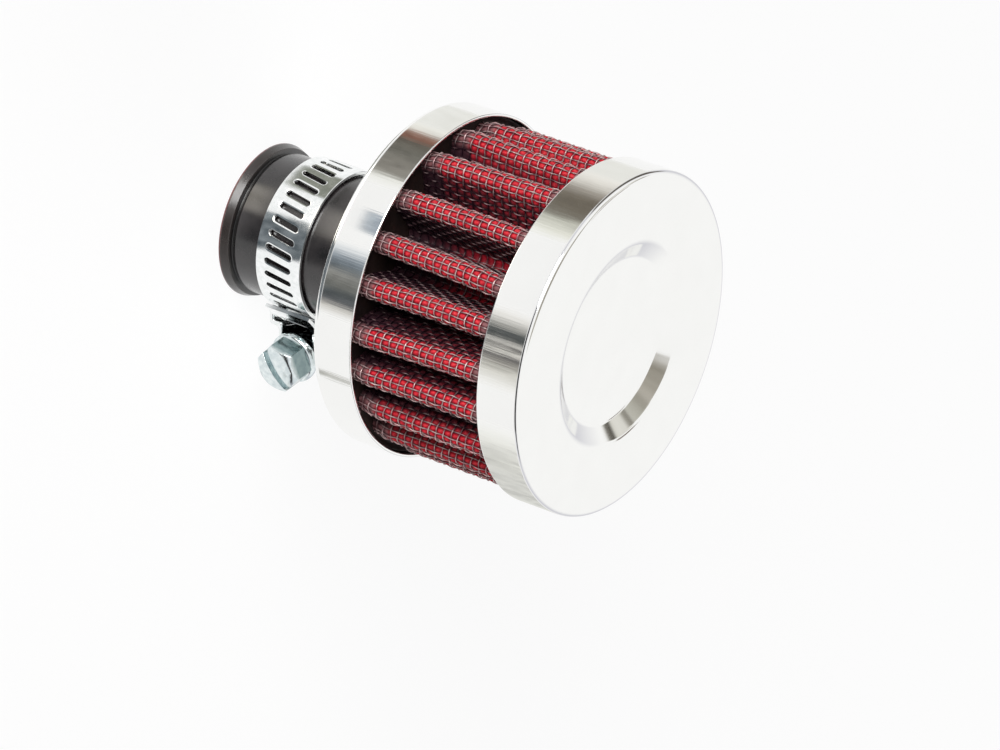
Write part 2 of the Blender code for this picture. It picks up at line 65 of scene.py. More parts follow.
REAR_FACE, REAR_RIM = heights("rear_cap")
FRONT_RIM, FRONT_FACE = heights("front_cap")
ELEMENT_LOW, ELEMENT_HIGH = heights("outer_screen")
BAND_LOW, BAND_HIGH = heights("clamp_band")
NECK_TOP = heights("rubber_neck")[1]
CAP_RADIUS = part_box("front_cap")[1].x / MM
print("rear cap", REAR_FACE, REAR_RIM, "front cap", FRONT_RIM, FRONT_FACE, "radius", CAP_RADIUS)

# %% [markdown]
# ## Meshes from arrays
#
# Blender can take a whole mesh at once: an array of corners and an array of faces. A surface that is a
# function of two parameters is a grid of corners, so one helper numbers the faces of a grid, a second
# welds corners that fall together (at a pole or a seam) and a third fills the mesh. The third also
# works out the volume inside the faces, and turns them round if it is negative, so that every piece
# faces outwards.

# %% Grid faces, welding and filling a mesh
def grid_faces(rows, columns, wrap_rows=False, wrap_columns=False):
    """Four-sided faces between neighbours of a grid that is numbered row by row.

    A wrapped direction joins its last line of corners to its first.
    """
    number = np.arange(rows * columns).reshape(rows, columns)
    if wrap_rows:
        number = np.vstack([number, number[:1]])
    if wrap_columns:
        number = np.hstack([number, number[:, :1]])
    corners = [number[:-1, :-1], number[:-1, 1:], number[1:, 1:], number[1:, :-1]]
    return np.stack(corners, -1).reshape(-1, 4)


def welded(points, quads):
    """Joins equal corners. A quad with two equal neighbours becomes a triangle, or goes if thinner."""
    _, first, same = np.unique(np.round(points, 5), axis=0, return_index=True, return_inverse=True)
    quads = same.reshape(-1)[quads]
    equal = quads == np.roll(quads, -1, axis=1)
    folds = equal.sum(1)
    return points[first], [quads[folds == 0], quads[folds == 1][~equal[folds == 1]].reshape(-1, 3)]


def enclosed_volume(points, faces):
    """Sum over the faces' triangles (a, b, c) of a . (b x c) / 6."""
    total = 0.0
    for kind in faces:
        for third in range(2, kind.shape[1]):
            a, b, c = points[kind[:, 0]], points[kind[:, third - 1]], points[kind[:, third]]
            total += np.einsum("ij,ij->i", a, np.cross(b, c)).sum() / 6
    return total


def turned_out(points, faces):
    """The same faces, turned round if the volume inside them is negative."""
    return [kind[:, ::-1] for kind in faces] if enclosed_volume(points, faces) < 0 else faces


def new_piece(name, points, faces, finish, body="filter", fields=None):
    """A mesh object in the row frame from corners in millimetres and one or two arrays of faces.

    fields gives values at the corners by name, which a material reads with an Attribute node.
    """
    faces = turned_out(points, [kind for kind in faces if len(kind)])
    mesh = bpy.data.meshes.new(name)
    mesh.vertices.add(len(points))
    mesh.vertices.foreach_set("co", (points * MM).astype(np.float32).ravel())
    sizes = np.concatenate([np.full(len(kind), kind.shape[1]) for kind in faces])
    mesh.loops.add(int(sizes.sum()))
    mesh.loops.foreach_set("vertex_index", np.concatenate([kind.ravel() for kind in faces]))
    mesh.polygons.add(len(sizes))
    mesh.polygons.foreach_set("loop_start", np.concatenate([[0], np.cumsum(sizes)[:-1]]))
    mesh.update(calc_edges=True)
    mesh.shade_smooth()
    for key, values in (fields or {}).items():
        mesh.attributes.new(key, "FLOAT", "POINT").data.foreach_set("value", np.ravel(values))
    mesh.materials.append(finish)
    made = bpy.data.objects.new(name, mesh)
    bpy.context.scene.collection.objects.link(made)
    if body:
        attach(made, body)
    print(f"{name}: {len(points)} corners, {len(sizes)} faces")
    return made


# %% [markdown]
# ## Profiles with round corners
#
# Pressed, moulded and turned pieces have no knife edges. One helper takes the corners of a profile and
# a radius for each, and replaces every corner by an arc. Profiles are complex numbers here, with the
# radius from the axis as the real part and the height as the imaginary part, because turning a point
# is then one multiplication. A point is added on the flat just before and after each arc, so that the
# flat keeps its own shading up to there and mirrors cleanly.

# %% Rounded profiles, and turning them about the axis
def rounded(corners, radii, steps=6, closed=True):
    """The path through the corners, with an arc of the given radius at each.

    With a and b the directions into and out of a corner that turns by w, the arc starts r tan(w / 2)
    before the corner, and its centre is r to the side that the path turns to.
    """
    corner = np.asarray(corners, float) @ np.array([1, 1j])
    radius = np.asarray(radii, float)
    into = corner - np.roll(corner, 1)
    onward = np.roll(corner, -1) - corner
    if not closed:
        into[0], onward[-1] = onward[0], into[-1]
    into, onward = into / abs(into), onward / abs(onward)
    turn = np.angle(onward / into)
    reach = radius * np.tan(abs(turn) / 2)
    start = corner - into * reach
    centre = start + 1j * np.sign(turn) * into * radius
    share = np.linspace(0, 1, steps + 1)
    arcs = centre[:, None] + (start - centre)[:, None] * np.exp(1j * turn[:, None] * share)
    lead = 0.2 * reach
    path = np.hstack([(start - into * lead)[:, None], arcs, (arcs[:, -1] + onward * lead)[:, None]])
    path = path.ravel()
    return path[np.append(True, abs(np.diff(path)) > 1e-5)]


def lifted(flat, z):
    """Corners [x, y, z] from flat = x + i y and the height z."""
    flat, z = np.broadcast_arrays(flat, z)
    return np.stack([flat.real, flat.imag, z], -1)


def lathe(path, steps):
    """Corners and faces of a closed profile turned about Z: (r cos a, r sin a, z) at each angle a."""
    turns = np.exp(1j * np.linspace(0, TAU, steps, endpoint=False))
    points = lifted(turns[:, None] * path.real, path.imag).reshape(-1, 3)
    return welded(points, grid_faces(steps, len(path), True, True))


# %% [markdown]
# ## Colours and nodes
#
# Colours are picked as sRGB hex values, and one function turns them to the linear values that shaders
# work with. One more function adds a node, with its settings, its values and its links. A value that
# is the same all over a finish is set on the shader's own socket.

# %% Colour and node helpers
def colour(code):
    """Linear red, green, blue and alpha of an sRGB hex code.

    Dark values are divided by 12.92. The others are ((c + 0.055) / 1.055) to the power of 2.4.
    """
    c = np.array([int(code[i : i + 2], 16) for i in (1, 3, 5)]) / 255
    return (*np.where(c <= 0.04045, c / 12.92, ((c + 0.055) / 1.055) ** 2.4), 1.0)


def put(tree, made, inputs):
    """Fills inputs of a node. A value is plain, a socket, or a node, which gives its first output."""
    for key, value in inputs.items():
        if isinstance(value, bpy.types.Node):
            value = value.outputs[0]
        if isinstance(value, bpy.types.NodeSocket):
            tree.links.new(value, made.inputs[key])
        else:
            made.inputs[key].default_value = value


def node(tree, kind, inputs=None, stops=(), **settings):
    """Adds one shader node. A colour ramp's stops are (place, hex colour) pairs, in rising order."""
    made = tree.nodes.new("ShaderNode" + kind)
    for key, value in settings.items():
        setattr(made, key, value)
    put(tree, made, inputs or {})
    if stops:
        elements = made.color_ramp.elements
        elements[0].position, elements[1].position = stops[0][0], stops[-1][0]
        for place, _ in stops[1:-1]:
            elements.new(place)
        for element, (_, code) in zip(elements, stops):
            element.color = colour(code)
    return made


def new_finish(name, values):
    """A material with one Principled shader. Returns the material, its nodes and the shader."""
    made = bpy.data.materials.new(name)
    made.use_nodes = True
    shader = made.node_tree.nodes["Principled BSDF"]
    put(made.node_tree, shader, values)
    return made, made.node_tree, shader


def per_mm(size):
    """The texture scale at which one feature of a noise is about this many millimetres wide."""
    return 1 / (size * MM)


# %% [markdown]
# ## Camera
#
# The photograph was taken from far away with a long lens, looking at the front face of the filter at
# 30 degrees. The camera's place and turn come from fitting the outlines of both cups and of the neck.
# The filter lies on its side there, so the camera is rolled: the axis runs down to the right.

# %% Camera at the photograph's angle
VIEW_ELEVATION = math.radians(29.94)
VIEW_ROLL = math.radians(19.69)
VIEW_DISTANCE = 1200.0
FACE_OFFSET = (17.27, 4.21)
LENS = 307.7

sine, cosine = math.sin(VIEW_ELEVATION), math.cos(VIEW_ELEVATION)
right = Vector((-math.sin(VIEW_ROLL), sine * math.cos(VIEW_ROLL), cosine * math.cos(VIEW_ROLL)))
up = Vector((-math.cos(VIEW_ROLL), -sine * math.sin(VIEW_ROLL), -cosine * math.sin(VIEW_ROLL)))
back = right.cross(up)
place = Vector((0, 0, FRONT_FACE)) - right * FACE_OFFSET[0] - up * FACE_OFFSET[1]
place += back * VIEW_DISTANCE
camera = bpy.data.objects.new("camera", bpy.data.cameras.new("camera"))
camera.matrix_world = Matrix.Translation(place * MM) @ Matrix((right, up, back)).transposed().to_4x4()
camera.data.lens = LENS
camera.data.sensor_width = 36.0
camera.data.clip_end = 20.0
bpy.context.scene.collection.objects.link(camera)
bpy.context.scene.camera = camera
print("camera at", [round(v) for v in place], "mm")

# %% [markdown]
# ## Rubber
#
# The neck is moulded from oil-resistant nitrile rubber. A mould leaves it matt with a very fine grain,
# handling leaves faint smears and a little shine, and the lip looks greyish brown, with a reddish
# edge where the skin of the moulding was trimmed. The groove at the lip's foot is painted near black,
# a painted shade. Rubber is no metal and has an IOR of about 1.52.

# %% Moulded rubber
rubber, tree, shader = new_finish(
    "moulded_nitrile_rubber",
    {"IOR": 1.52, "Coat Weight": 0.5, "Coat Roughness": 0.22, "Coat IOR": 1.5},
)
spot = node(tree, "TexCoord").outputs["Object"]
smears = node(tree, "TexNoise", {"Vector": spot, "Scale": per_mm(3.0), "Detail": 5.0})
grain = node(tree, "TexNoise", {"Vector": spot, "Scale": per_mm(0.25), "Detail": 3.0})
tone = node(tree, "ValToRGB", {"Fac": smears}, [(0.3, "#0E0C0D"), (0.7, "#2A2526")])
# The last field is painted shade: the groove at the foot of the lip is painted near black.
for field, code in (("rim", "#2A2422"), ("skin", "#70383A"), ("groove_shade", "#060505")):
    there = node(tree, "Attribute", attribute_name=field).outputs["Fac"]
    tone = node(tree, "MixRGB", {"Fac": there, "Color1": tone, "Color2": colour(code)})
dull = node(tree, "MapRange", {"Value": smears, "To Min": 0.18, "To Max": 0.40})
bump = node(tree, "Bump", {"Height": grain, "Strength": 0.35, "Distance": 0.02 * MM})
put(tree, shader, {"Base Color": tone, "Roughness": dull, "Normal": bump})
print("made", rubber.name)

# %% [markdown]
# ## Rubber neck
#
# The neck is a thick tube. Its open end has a small conical lip with a groove at its foot, and inside
# the rear cup it ends in a flange. A tube is a profile turned about the axis, so the whole shape is in
# its corners and their radii.

# %% The neck
BORE_RADIUS, NECK_RADIUS, LIP_RADIUS = 6.0, 10.5, 11.42
LIP_SHOULDER, LIP_TOP, LIP_FOOT = 11.05, 1.45, 1.75
neck_path = rounded(
    [
        (BORE_RADIUS, NECK_TOP),
        (13.0, NECK_TOP),
        (13.0, REAR_FACE + 0.8),
        (NECK_RADIUS, REAR_FACE + 0.8),
        (NECK_RADIUS, LIP_FOOT + 0.55),
        (NECK_RADIUS - 0.18, LIP_FOOT + 0.2),
        (NECK_RADIUS - 0.18, LIP_FOOT - 0.1),
        (LIP_SHOULDER, LIP_TOP),
        (LIP_RADIUS, 0.35),
        (LIP_RADIUS, 0.0),
        (BORE_RADIUS, 0.0),
    ],
    [0.3, 0.3, 0.2, 0.05, 0.3, 0.1, 0.1, 0.15, 0.15, 0.12, 0.6],
    steps=8,
)
points, faces = lathe(neck_path, 144)
reach = np.hypot(points[:, 0], points[:, 1])
on_lip = np.clip((reach - 10.75) / 0.2, 0, 1) * (points[:, 2] < 2.0)
at_edge = np.clip((0.26 - points[:, 2]) / 0.08, 0, 1) * (reach > 11.0)
# Painted shade in the groove at the foot of the lip.
groove_shade = np.clip((LIP_FOOT + 0.5 - points[:, 2]) / 0.3, 0, 1) * (reach < 10.7) * (reach > 10.0)
neck = new_piece(
    "neck", points, faces, rubber, fields={"rim": on_lip, "skin": at_edge, "groove_shade": groove_shade}
)
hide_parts("rubber_neck")

# %% [markdown]
# ## Chrome
#
# The cups are drawn from thin steel sheet and plated with bright chrome. A metal shows almost only
# what it mirrors, so the finish is a near-white metal with a low roughness. What makes it believable
# is the small damage: the drawing tool leaves fine lines along the axis on the sides, and polishing
# leaves a very slight unevenness everywhere.

# %% Bright chrome on drawn steel
chrome, tree, shader = new_finish("chromed_drawn_steel", {"Metallic": 1.0})
spot = node(tree, "TexCoord").outputs["Object"]
cloud = node(tree, "TexNoise", {"Vector": spot, "Scale": per_mm(4.0), "Detail": 6.0})
tone = node(tree, "ValToRGB", {"Fac": cloud}, [(0.3, "#F4F4F2"), (0.7, "#F6F6F4")])
gloss = node(tree, "MapRange", {"Value": cloud, "To Min": 0.06, "To Max": 0.11})
# Lines about 0.3 mm apart round the cup and some 15 mm long, drawn coarser than real ones.
stretch = node(tree, "Mapping", {"Vector": spot, "Scale": (1.0, 1.0, 0.02)})
lines = node(tree, "TexNoise", {"Vector": stretch, "Scale": per_mm(0.3), "Detail": 4.0})
side = node(tree, "Attribute", attribute_name="side").outputs["Fac"]
drawn = node(tree, "Math", {0: lines, 1: side}, operation="MULTIPLY")
wavy = node(tree, "TexNoise", {"Vector": spot, "Scale": per_mm(5.0), "Detail": 1.0})
soft = node(tree, "Bump", {"Height": wavy, "Strength": 0.3, "Distance": 0.02 * MM})
bump = node(tree, "Bump", {"Height": drawn, "Strength": 0.4, "Distance": 0.02 * MM, "Normal": soft})
put(tree, shader, {"Base Color": tone, "Roughness": gloss, "Normal": bump})
print("made", chrome.name)

# %% [markdown]
# ## The two pressed cups
#
# Both cups are one closed profile of sheet, 0.5 mm thick, turned about the axis: down the outside,
# over the rim and back up the inside. The front cup has a round recess pressed into its face, and
# pressing leaves wide soft radii where the sheet bends. The field "side" is 1 on the sides, where the
# drawing lines are. It fades out towards the round corner, whose place the two numbers corner_at
# give: the height of the face, and the corner's radius. Each profile has an extra corner on its side
# just past the place where the field is 1 again.

# %% Rear and front cups
SHEET = 0.5
CUP_STEPS = 360


def cup(name, corners, radii, corner_at):
    """A sheet-metal cup from its closed profile. corner_at is its face's height and corner radius."""
    points, faces = lathe(rounded(corners, radii, steps=8), CUP_STEPS)
    reach = np.hypot(points[:, 0], points[:, 1])
    side = np.clip((abs(points[:, 2] - corner_at[0]) - corner_at[1] - 0.2) / 1.5, 0, 1)
    side = side * (reach > CAP_RADIUS - 0.01)
    made = new_piece(name, points, faces, chrome, fields={"side": side})
    return made


HOLE_RADIUS = NECK_RADIUS + 0.3
INNER = CAP_RADIUS - SHEET
rear_cup = cup(
    "rear_cup",
    [
        (CAP_RADIUS, REAR_RIM),
        (CAP_RADIUS, REAR_FACE + 2.8),
        (CAP_RADIUS, REAR_FACE),
        (HOLE_RADIUS, REAR_FACE),
        (HOLE_RADIUS, REAR_FACE + SHEET),
        (INNER, REAR_FACE + SHEET),
        (INNER, REAR_RIM),
    ],
    [0.2, 0.0, 1.0, 0.2, 0.2, 0.5, 0.2],
    (REAR_FACE, 1.0),
)
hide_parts("rear_cap")

RECESS_RADIUS, RECESS_FLOOR, RECESS_DEPTH = 15.2, 12.4, 1.8
front_cup = cup(
    "front_cup",
    [
        (0.0, FRONT_FACE - RECESS_DEPTH),
        (RECESS_FLOOR, FRONT_FACE - RECESS_DEPTH),
        (RECESS_RADIUS, FRONT_FACE),
        (CAP_RADIUS, FRONT_FACE),
        (CAP_RADIUS, FRONT_FACE - 2.6),
        (CAP_RADIUS, FRONT_RIM),
        (INNER, FRONT_RIM),
        (INNER, FRONT_FACE - SHEET),
        (RECESS_RADIUS + 0.2, FRONT_FACE - SHEET),
        (RECESS_FLOOR + 0.2, FRONT_FACE - RECESS_DEPTH - SHEET),
        (0.0, FRONT_FACE - RECESS_DEPTH - SHEET),
    ],
    [0.0, 1.0, 1.8, 0.75, 0.0, 0.2, 0.2, 0.3, 1.3, 1.5, 0.0],
    (FRONT_FACE, 0.75),
)
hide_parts("front_cap")

# %% [markdown]
# ## Potting compound
#
# Each end of the element is set in a dark poured compound, which creeps a little way up what it
# touches. It is seen only in the dark gap inside a cup's rim, as a ring with a soft hollow top.

# %% Cast compound and its two bodies
compound, tree, shader = new_finish("poured_potting_compound", {"Roughness": 0.55})
spot = node(tree, "TexCoord").outputs["Object"]
cloud = node(tree, "TexNoise", {"Vector": spot, "Scale": per_mm(1.5), "Detail": 5.0})
tone = node(tree, "ValToRGB", {"Fac": cloud}, [(0.3, "#1D1514"), (0.7, "#33231F")])
bump = node(tree, "Bump", {"Height": cloud, "Strength": 0.6, "Distance": 0.2 * MM})
put(tree, shader, {"Base Color": tone, "Normal": bump})

POTTING_RADIUS = INNER - 0.1
FLANGE_EDGE = 13.1
rear_top = ELEMENT_LOW + 0.9
rear_seal_path = rounded(
    [
        (FLANGE_EDGE, rear_top - 1.2),
        (FLANGE_EDGE + 1.5, rear_top),
        (POTTING_RADIUS - 0.8, rear_top),
        (POTTING_RADIUS, rear_top + 0.6),
        (POTTING_RADIUS, REAR_FACE + SHEET + 0.1),
        (FLANGE_EDGE, REAR_FACE + SHEET + 0.1),
    ],
    [0.2, 1.0, 0.5, 0.1, 0.4, 0.1],
)
rear_seal = new_piece("rear_seal", *lathe(rear_seal_path, 96), compound)
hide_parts("rear_potting")

front_low = ELEMENT_HIGH - 0.6
front_seal_path = rounded(
    [
        (0.0, front_low),
        (POTTING_RADIUS - 0.8, front_low),
        (POTTING_RADIUS, front_low - 0.5),
        (POTTING_RADIUS, FRONT_FACE - SHEET - 0.1),
        (RECESS_RADIUS + 0.4, FRONT_FACE - SHEET - 0.1),
        (RECESS_FLOOR + 0.4, FRONT_FACE - RECESS_DEPTH - SHEET - 0.1),
        (0.0, FRONT_FACE - RECESS_DEPTH - SHEET - 0.1),
    ],
    [0.0, 0.5, 0.1, 0.6, 0.9, 1.7, 0.0],
)
front_seal = new_piece("front_seal", *lathe(front_seal_path, 96), compound)
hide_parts("front_potting")

# %% [markdown]
# ## The fold of the element
#
# Gauze and wire cloth are folded together, so every layer follows one zigzag: 21 pleats with a round
# crest, two straight flanks and a tight valley. The direction that the cloth faces is known all along
# one pleat: it turns one way round each valley and the other way round the crest, and holds still on
# the flanks. Adding up small steps at a right angle to that direction gives the path itself, and a
# deeper layer is the same path moved back along it.
#
# Real pleats are never alike. They lean, bow and differ in height, and they are pressed in where the
# compound holds them. One function moves every point of every layer by the same soft field, so the
# layers stay together.

# %% One pleat as a path, and the unevenness of the pleats
PLEATS = 21
HALF, QUARTER = math.pi / PLEATS, math.pi / 2
FIRST_CREST = math.radians(5.4)
CREST_RADIUS, CREST_CENTRE = 1.73, 22.87
VALLEY_RADIUS = 0.70
VALLEY_CENTRE = (CREST_RADIUS + VALLEY_RADIUS) / math.sin(HALF)
FLANK = CREST_CENTRE - VALLEY_CENTRE * math.cos(HALF)
VALLEY_ARC = VALLEY_RADIUS * (QUARTER - HALF)
CREST_ARC = math.pi * CREST_RADIUS
PLEAT_LENGTH = 2 * (VALLEY_ARC + FLANK) + CREST_ARC
CLOTH_LENGTH = PLEATS * PLEAT_LENGTH

run = np.linspace(0, PLEAT_LENGTH, 4001)
bend_places = np.cumsum([0, VALLEY_ARC, FLANK, CREST_ARC, FLANK, VALLEY_ARC])
facing = np.interp(run, bend_places, [-HALF, -QUARTER, -QUARTER, QUARTER, QUARTER, HALF])
heading = 1j * np.exp(0.5j * (facing[1:] + facing[:-1]))
fold_path = (VALLEY_CENTRE - VALLEY_RADIUS) * np.exp(-1j * HALF)
fold_path = fold_path + np.append(0, np.cumsum(heading * np.diff(run)))

draw = np.random.default_rng(11)
offset, lean, bow = draw.uniform(-0.5, 0.5, (3, PLEATS))
height = draw.uniform(0, 0.2, PLEATS)
# Sideways moves in mm bring the pleats that the photograph shows close to where they stand there.
offset[12:] = [-0.65, -0.46, 0.64, 1.12, 0.44, 0.45, 0.05, -0.12, -0.75]
lean[13:20] = [-0.55, 0.0, 0.55, -0.2, -0.7, -0.4, 0.2]


# %% From the fold to the element
def folded(along, depth):
    """Points of a layer at distances along all pleats and at a depth: path - depth * facing.

    Distances run from the valley before the first crest, and go on round all the pleats.
    """
    pleat, within = np.divmod(along, PLEAT_LENGTH)
    path = np.interp(within, run, fold_path.real) + 1j * np.interp(within, run, fold_path.imag)
    outwards = np.exp(1j * np.interp(within, run, facing))
    return (path - depth * outwards) * np.exp(1j * (FIRST_CREST + 2 * HALF * pleat))


def smooth(x):
    """0 below 0, 1 above 1, and 3 x^2 - 2 x^3 between."""
    x = np.clip(x, 0, 1)
    return x * x * (3 - 2 * x)


def settled(flat, z):
    """Moves points (flat = x + i y, z) of the element as uneven pleats stand.

    The move grows from the valleys to the crests. Sideways it is an offset, a lean and a bow for each
    pleat; inwards it is the pleat's own height, and a dip near each cup.
    """
    turn = np.angle(flat) - FIRST_CREST
    pleat = np.round(turn / (2 * HALF)).astype(int) % PLEATS
    share = smooth((abs(flat) - 17.0) / 7.0)
    level = (z - REAR_RIM) / (FRONT_RIM - REAR_RIM)
    sideways = offset[pleat] + lean[pleat] * (level - 0.5)
    sideways = sideways + 0.4 * bow[pleat] * np.sin(math.pi * np.clip(level, 0, 1))
    dip = height[pleat] + 0.45 * smooth((REAR_RIM + 1.2 - z) / 2.4)
    dip = dip + 0.30 * smooth((z - FRONT_RIM + 1.0) / 1.8)
    away = flat / abs(flat)
    return flat + share * away * (1j * sideways - dip)


def painted_flank_shade(flat, z):
    """How much painted shade darkens the cloth, 0 to 1.

    It grows from the crests down the flanks. The floors of the valleys get less of it, but not near the
    rear cup. Nor do the pleats at the top of the picture, which face the light.
    """
    level = (z - REAR_RIM) / (FRONT_RIM - REAR_RIM)
    unshaded = smooth((17.2 - abs(flat)) / 1.6) * smooth((level - 0.2) / 0.4)
    unshaded = np.maximum(unshaded, 0.9 * smooth((-np.degrees(np.angle(flat)) - 124) / 10) * (level > 0.1))
    return smooth((23.7 - abs(flat)) / 2.2) * (0.97 - 0.20 * smooth(level * 1.2)) * (1 - 0.6 * unshaded)


print(f"one pleat is {PLEAT_LENGTH:.2f} mm of cloth, and all of them {CLOTH_LENGTH:.0f} mm")

# %% [markdown]
# ## Oiled red gauze
#
# The filter medium is layers of cotton gauze, dyed red and lightly oiled. Under the wire it swells
# into a little pillow in each mesh. The pillows are real shape here: the depth of the outer face is a
# product of two sine waves in step with the wires. The field "swell" is 0 at a wire and 1 on a pillow,
# and colours it: a painted highlight on top of each pillow, and painted shade round its edges, where
# some oil gathers too. Near the cups the gauze has soaked up compound and turned brown, which the
# field "soak" gives, and a third field paints shade on the flanks and in the valleys.

# %% The gauze finish
gauze, tree, shader = new_finish(
    "oiled_cotton_gauze",
    {"Roughness": 0.60, "Specular IOR Level": 0.3, "Sheen Weight": 0.03, "Sheen Roughness": 0.5,
     "Coat Weight": 0.10, "Coat Roughness": 0.30},
)
swell = node(tree, "Attribute", attribute_name="swell").outputs["Fac"]
soak = node(tree, "Attribute", attribute_name="soak").outputs["Fac"]
painted_shade = node(tree, "Attribute", attribute_name="painted_shade").outputs["Fac"]
spot = node(tree, "TexCoord").outputs["Object"]
blotch = node(tree, "TexNoise", {"Vector": spot, "Scale": per_mm(2.0), "Detail": 4.0})
mixed = node(tree, "MapRange", {"Value": blotch, "To Min": -0.25, "To Max": 0.25})
lit = node(tree, "Math", {0: swell, 1: mixed}, operation="ADD")
# Low swell is painted shade by the wires, with some oil there; high swell is a painted highlight.
reds = [(0.0, "#3E000E"), (0.35, "#8C0019"), (0.75, "#C20A23"), (1.0, "#DA343C")]
red = node(tree, "ValToRGB", {"Fac": lit}, reds)
brown = node(tree, "ValToRGB", {"Fac": lit}, [(0.0, "#482429"), (0.8, "#9C686A")])
tone = node(tree, "MixRGB", {"Fac": soak, "Color1": red, "Color2": brown})
# Painted shade on the flanks and in the valleys.
tone = node(tree, "MixRGB", {"Fac": painted_shade, "Color1": tone, "Color2": colour("#301620")})
# Cotton threads 0.3 mm apart, a little coarser than real ones. The map "cloth" is in millimetres.
cloth = node(tree, "UVMap", uv_map="cloth")
threads = node(tree, "TexNoise", {"Vector": cloth, "Scale": 1 / 0.3, "Detail": 2.0})
bump = node(tree, "Bump", {"Height": threads, "Strength": 0.8, "Distance": 0.08 * MM})
put(tree, shader, {"Base Color": tone, "Normal": bump})
print("made", gauze.name)

# %% Places of the gauze's corners along the fold and up its sides
HOOP_PITCH = 1.285
LONG_PER_PLEAT = 18
LONG_PITCH = PLEAT_LENGTH / LONG_PER_PLEAT
GAUZE_OUTER, GAUZE_INNER = 0.43, 1.18
PILLOW = 0.30
FIRST_HOOP = REAR_RIM - 0.75

near_crest = np.linspace(-6.5, 6.5, 67) * LONG_PITCH
near_valley = np.linspace(6.5, 11.5, 14)[1:-1] * LONG_PITCH
in_pleat = np.concatenate([near_crest, near_valley]) + PLEAT_LENGTH / 2
open_z = np.arange(REAR_RIM - 1.4, FRONT_RIM + 1.2, HOOP_PITCH / 5)
outside_z = np.concatenate([[ELEMENT_LOW], open_z, [ELEMENT_HIGH]])
inside_z = np.linspace(ELEMENT_HIGH - 0.2, ELEMENT_LOW + 0.2, 8)


def soaked(z):
    """1 at the cups' rims, where compound has crept into the gauze, and 0 some 2 mm from them."""
    return np.maximum(smooth((REAR_RIM + 1.9 - z) / 0.9), smooth((z - FRONT_RIM + 2.3) / 1.0))


# %% The gauze: one folded wall with a pillow in each mesh
def gauze_wall(name, pleats):
    """Some pleats of the gauze wall, as one closed piece.

    Its corners are a grid: along the fold, by up the outside and down the inside.
    """
    along = (np.array(pleats)[:, None] * PLEAT_LENGTH + in_pleat[None, :]).ravel()
    along = np.append(along, pleats[-1] * PLEAT_LENGTH + in_pleat[0] + PLEAT_LENGTH)
    z = np.concatenate([outside_z, inside_z])
    outer = np.arange(len(z)) < len(outside_z)
    s, z, outer = along[:, None], z[None, :], outer[None, :]
    swell = abs(np.sin(math.pi * s / LONG_PITCH) * np.sin(math.pi * (z - FIRST_HOOP) / HOOP_PITCH))
    swell = np.where(outer, swell**0.9, 0.0) * (1 - 0.4 * soaked(z))
    depth = np.where(outer, GAUZE_OUTER - PILLOW * swell, GAUZE_INNER)
    flat = settled(folded(s, depth), z)
    faces = grid_faces(len(along), z.size, False, True)
    ends = [np.arange(z.size)[::-1], np.arange(z.size) + (len(along) - 1) * z.size]
    half = z.size // 2
    caps = [np.stack([e[:half], e[::-1][:half]], 1) for e in ends]
    caps = [np.concatenate([c[:-1], c[1:, ::-1]], 1) for c in caps]
    faces = np.vstack([faces, *caps])
    fields = {"swell": swell, "soak": soaked(z) + 0 * s, "painted_shade": painted_flank_shade(flat, z)}
    made = new_piece(name, lifted(flat, z).reshape(-1, 3), [faces], gauze, fields=fields)
    uv = made.data.uv_layers.new(name="cloth")
    loops = np.empty(len(made.data.loops), np.int32)
    made.data.loops.foreach_get("vertex_index", loops)
    flat_uv = np.stack(np.broadcast_arrays(s, z), -1).reshape(-1, 2)
    uv.data.foreach_set("uv", flat_uv[loops].astype(np.float32).ravel())
    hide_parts("pleated_gauze")


HALF_WAY = 11
gauze_wall("gauze_a", range(HALF_WAY))
gauze_wall("gauze_b", range(HALF_WAY, PLEATS))

# %% [markdown]
# ## Wire cloth
#
# The screen is plain-woven wire. Long wires run from cup to cup and hoop wires follow the pleats
# round, and each goes over one and under the next. A woven wire is a tube along a wave: half a wire
# above the middle of the cloth at one crossing and half below at the next, and the two sets are out
# of step, so they pass without touching.
#
# The wire is aluminium under a dull lacquer, and the red oil of the gauze has left a film on it. So
# it looks pinkish grey and is only partly metal to the eye. Painted shade darkens the wires in the
# valleys and low in the weave, and takes the metal out of them there. The high points of the wires
# are left pale, a painted highlight that makes the dashes of light on the flanks.

# %% Wire finish
wire, tree, shader = new_finish("oil_filmed_aluminium_wire", {"Specular IOR Level": 0.3})
spot = node(tree, "TexCoord").outputs["Object"]
film = node(tree, "TexNoise", {"Vector": spot, "Scale": per_mm(1.2), "Detail": 4.0})
bare = node(tree, "ValToRGB", {"Fac": film}, [(0.35, "#BC9094"), (0.70, "#F2DAD6")])
painted_shade = node(tree, "Attribute", attribute_name="painted_shade").outputs["Fac"]
# Painted shade: where the cloth and the weave are shaded, the wire is painted dark and made less metal.
in_shade = node(tree, "MapRange", {"Value": painted_shade, "From Max": 0.72})
tone = node(tree, "MixRGB", {"Fac": in_shade, "Color1": bare, "Color2": colour("#24101A")})
metal = node(tree, "MapRange", {"Value": painted_shade, "To Min": 0.4, "To Max": 0.0})
dull = node(tree, "MapRange", {"Value": film, "To Min": 0.46, "To Max": 0.24})
put(tree, shader, {"Base Color": tone, "Metallic": metal, "Roughness": dull})
print("made", wire.name)

# %% Tubes along paths
WIRE_RADIUS = 0.082
WEAVE = 0.10
CLOTH_DEPTH = 0.20
WIRE_SIDES = 5


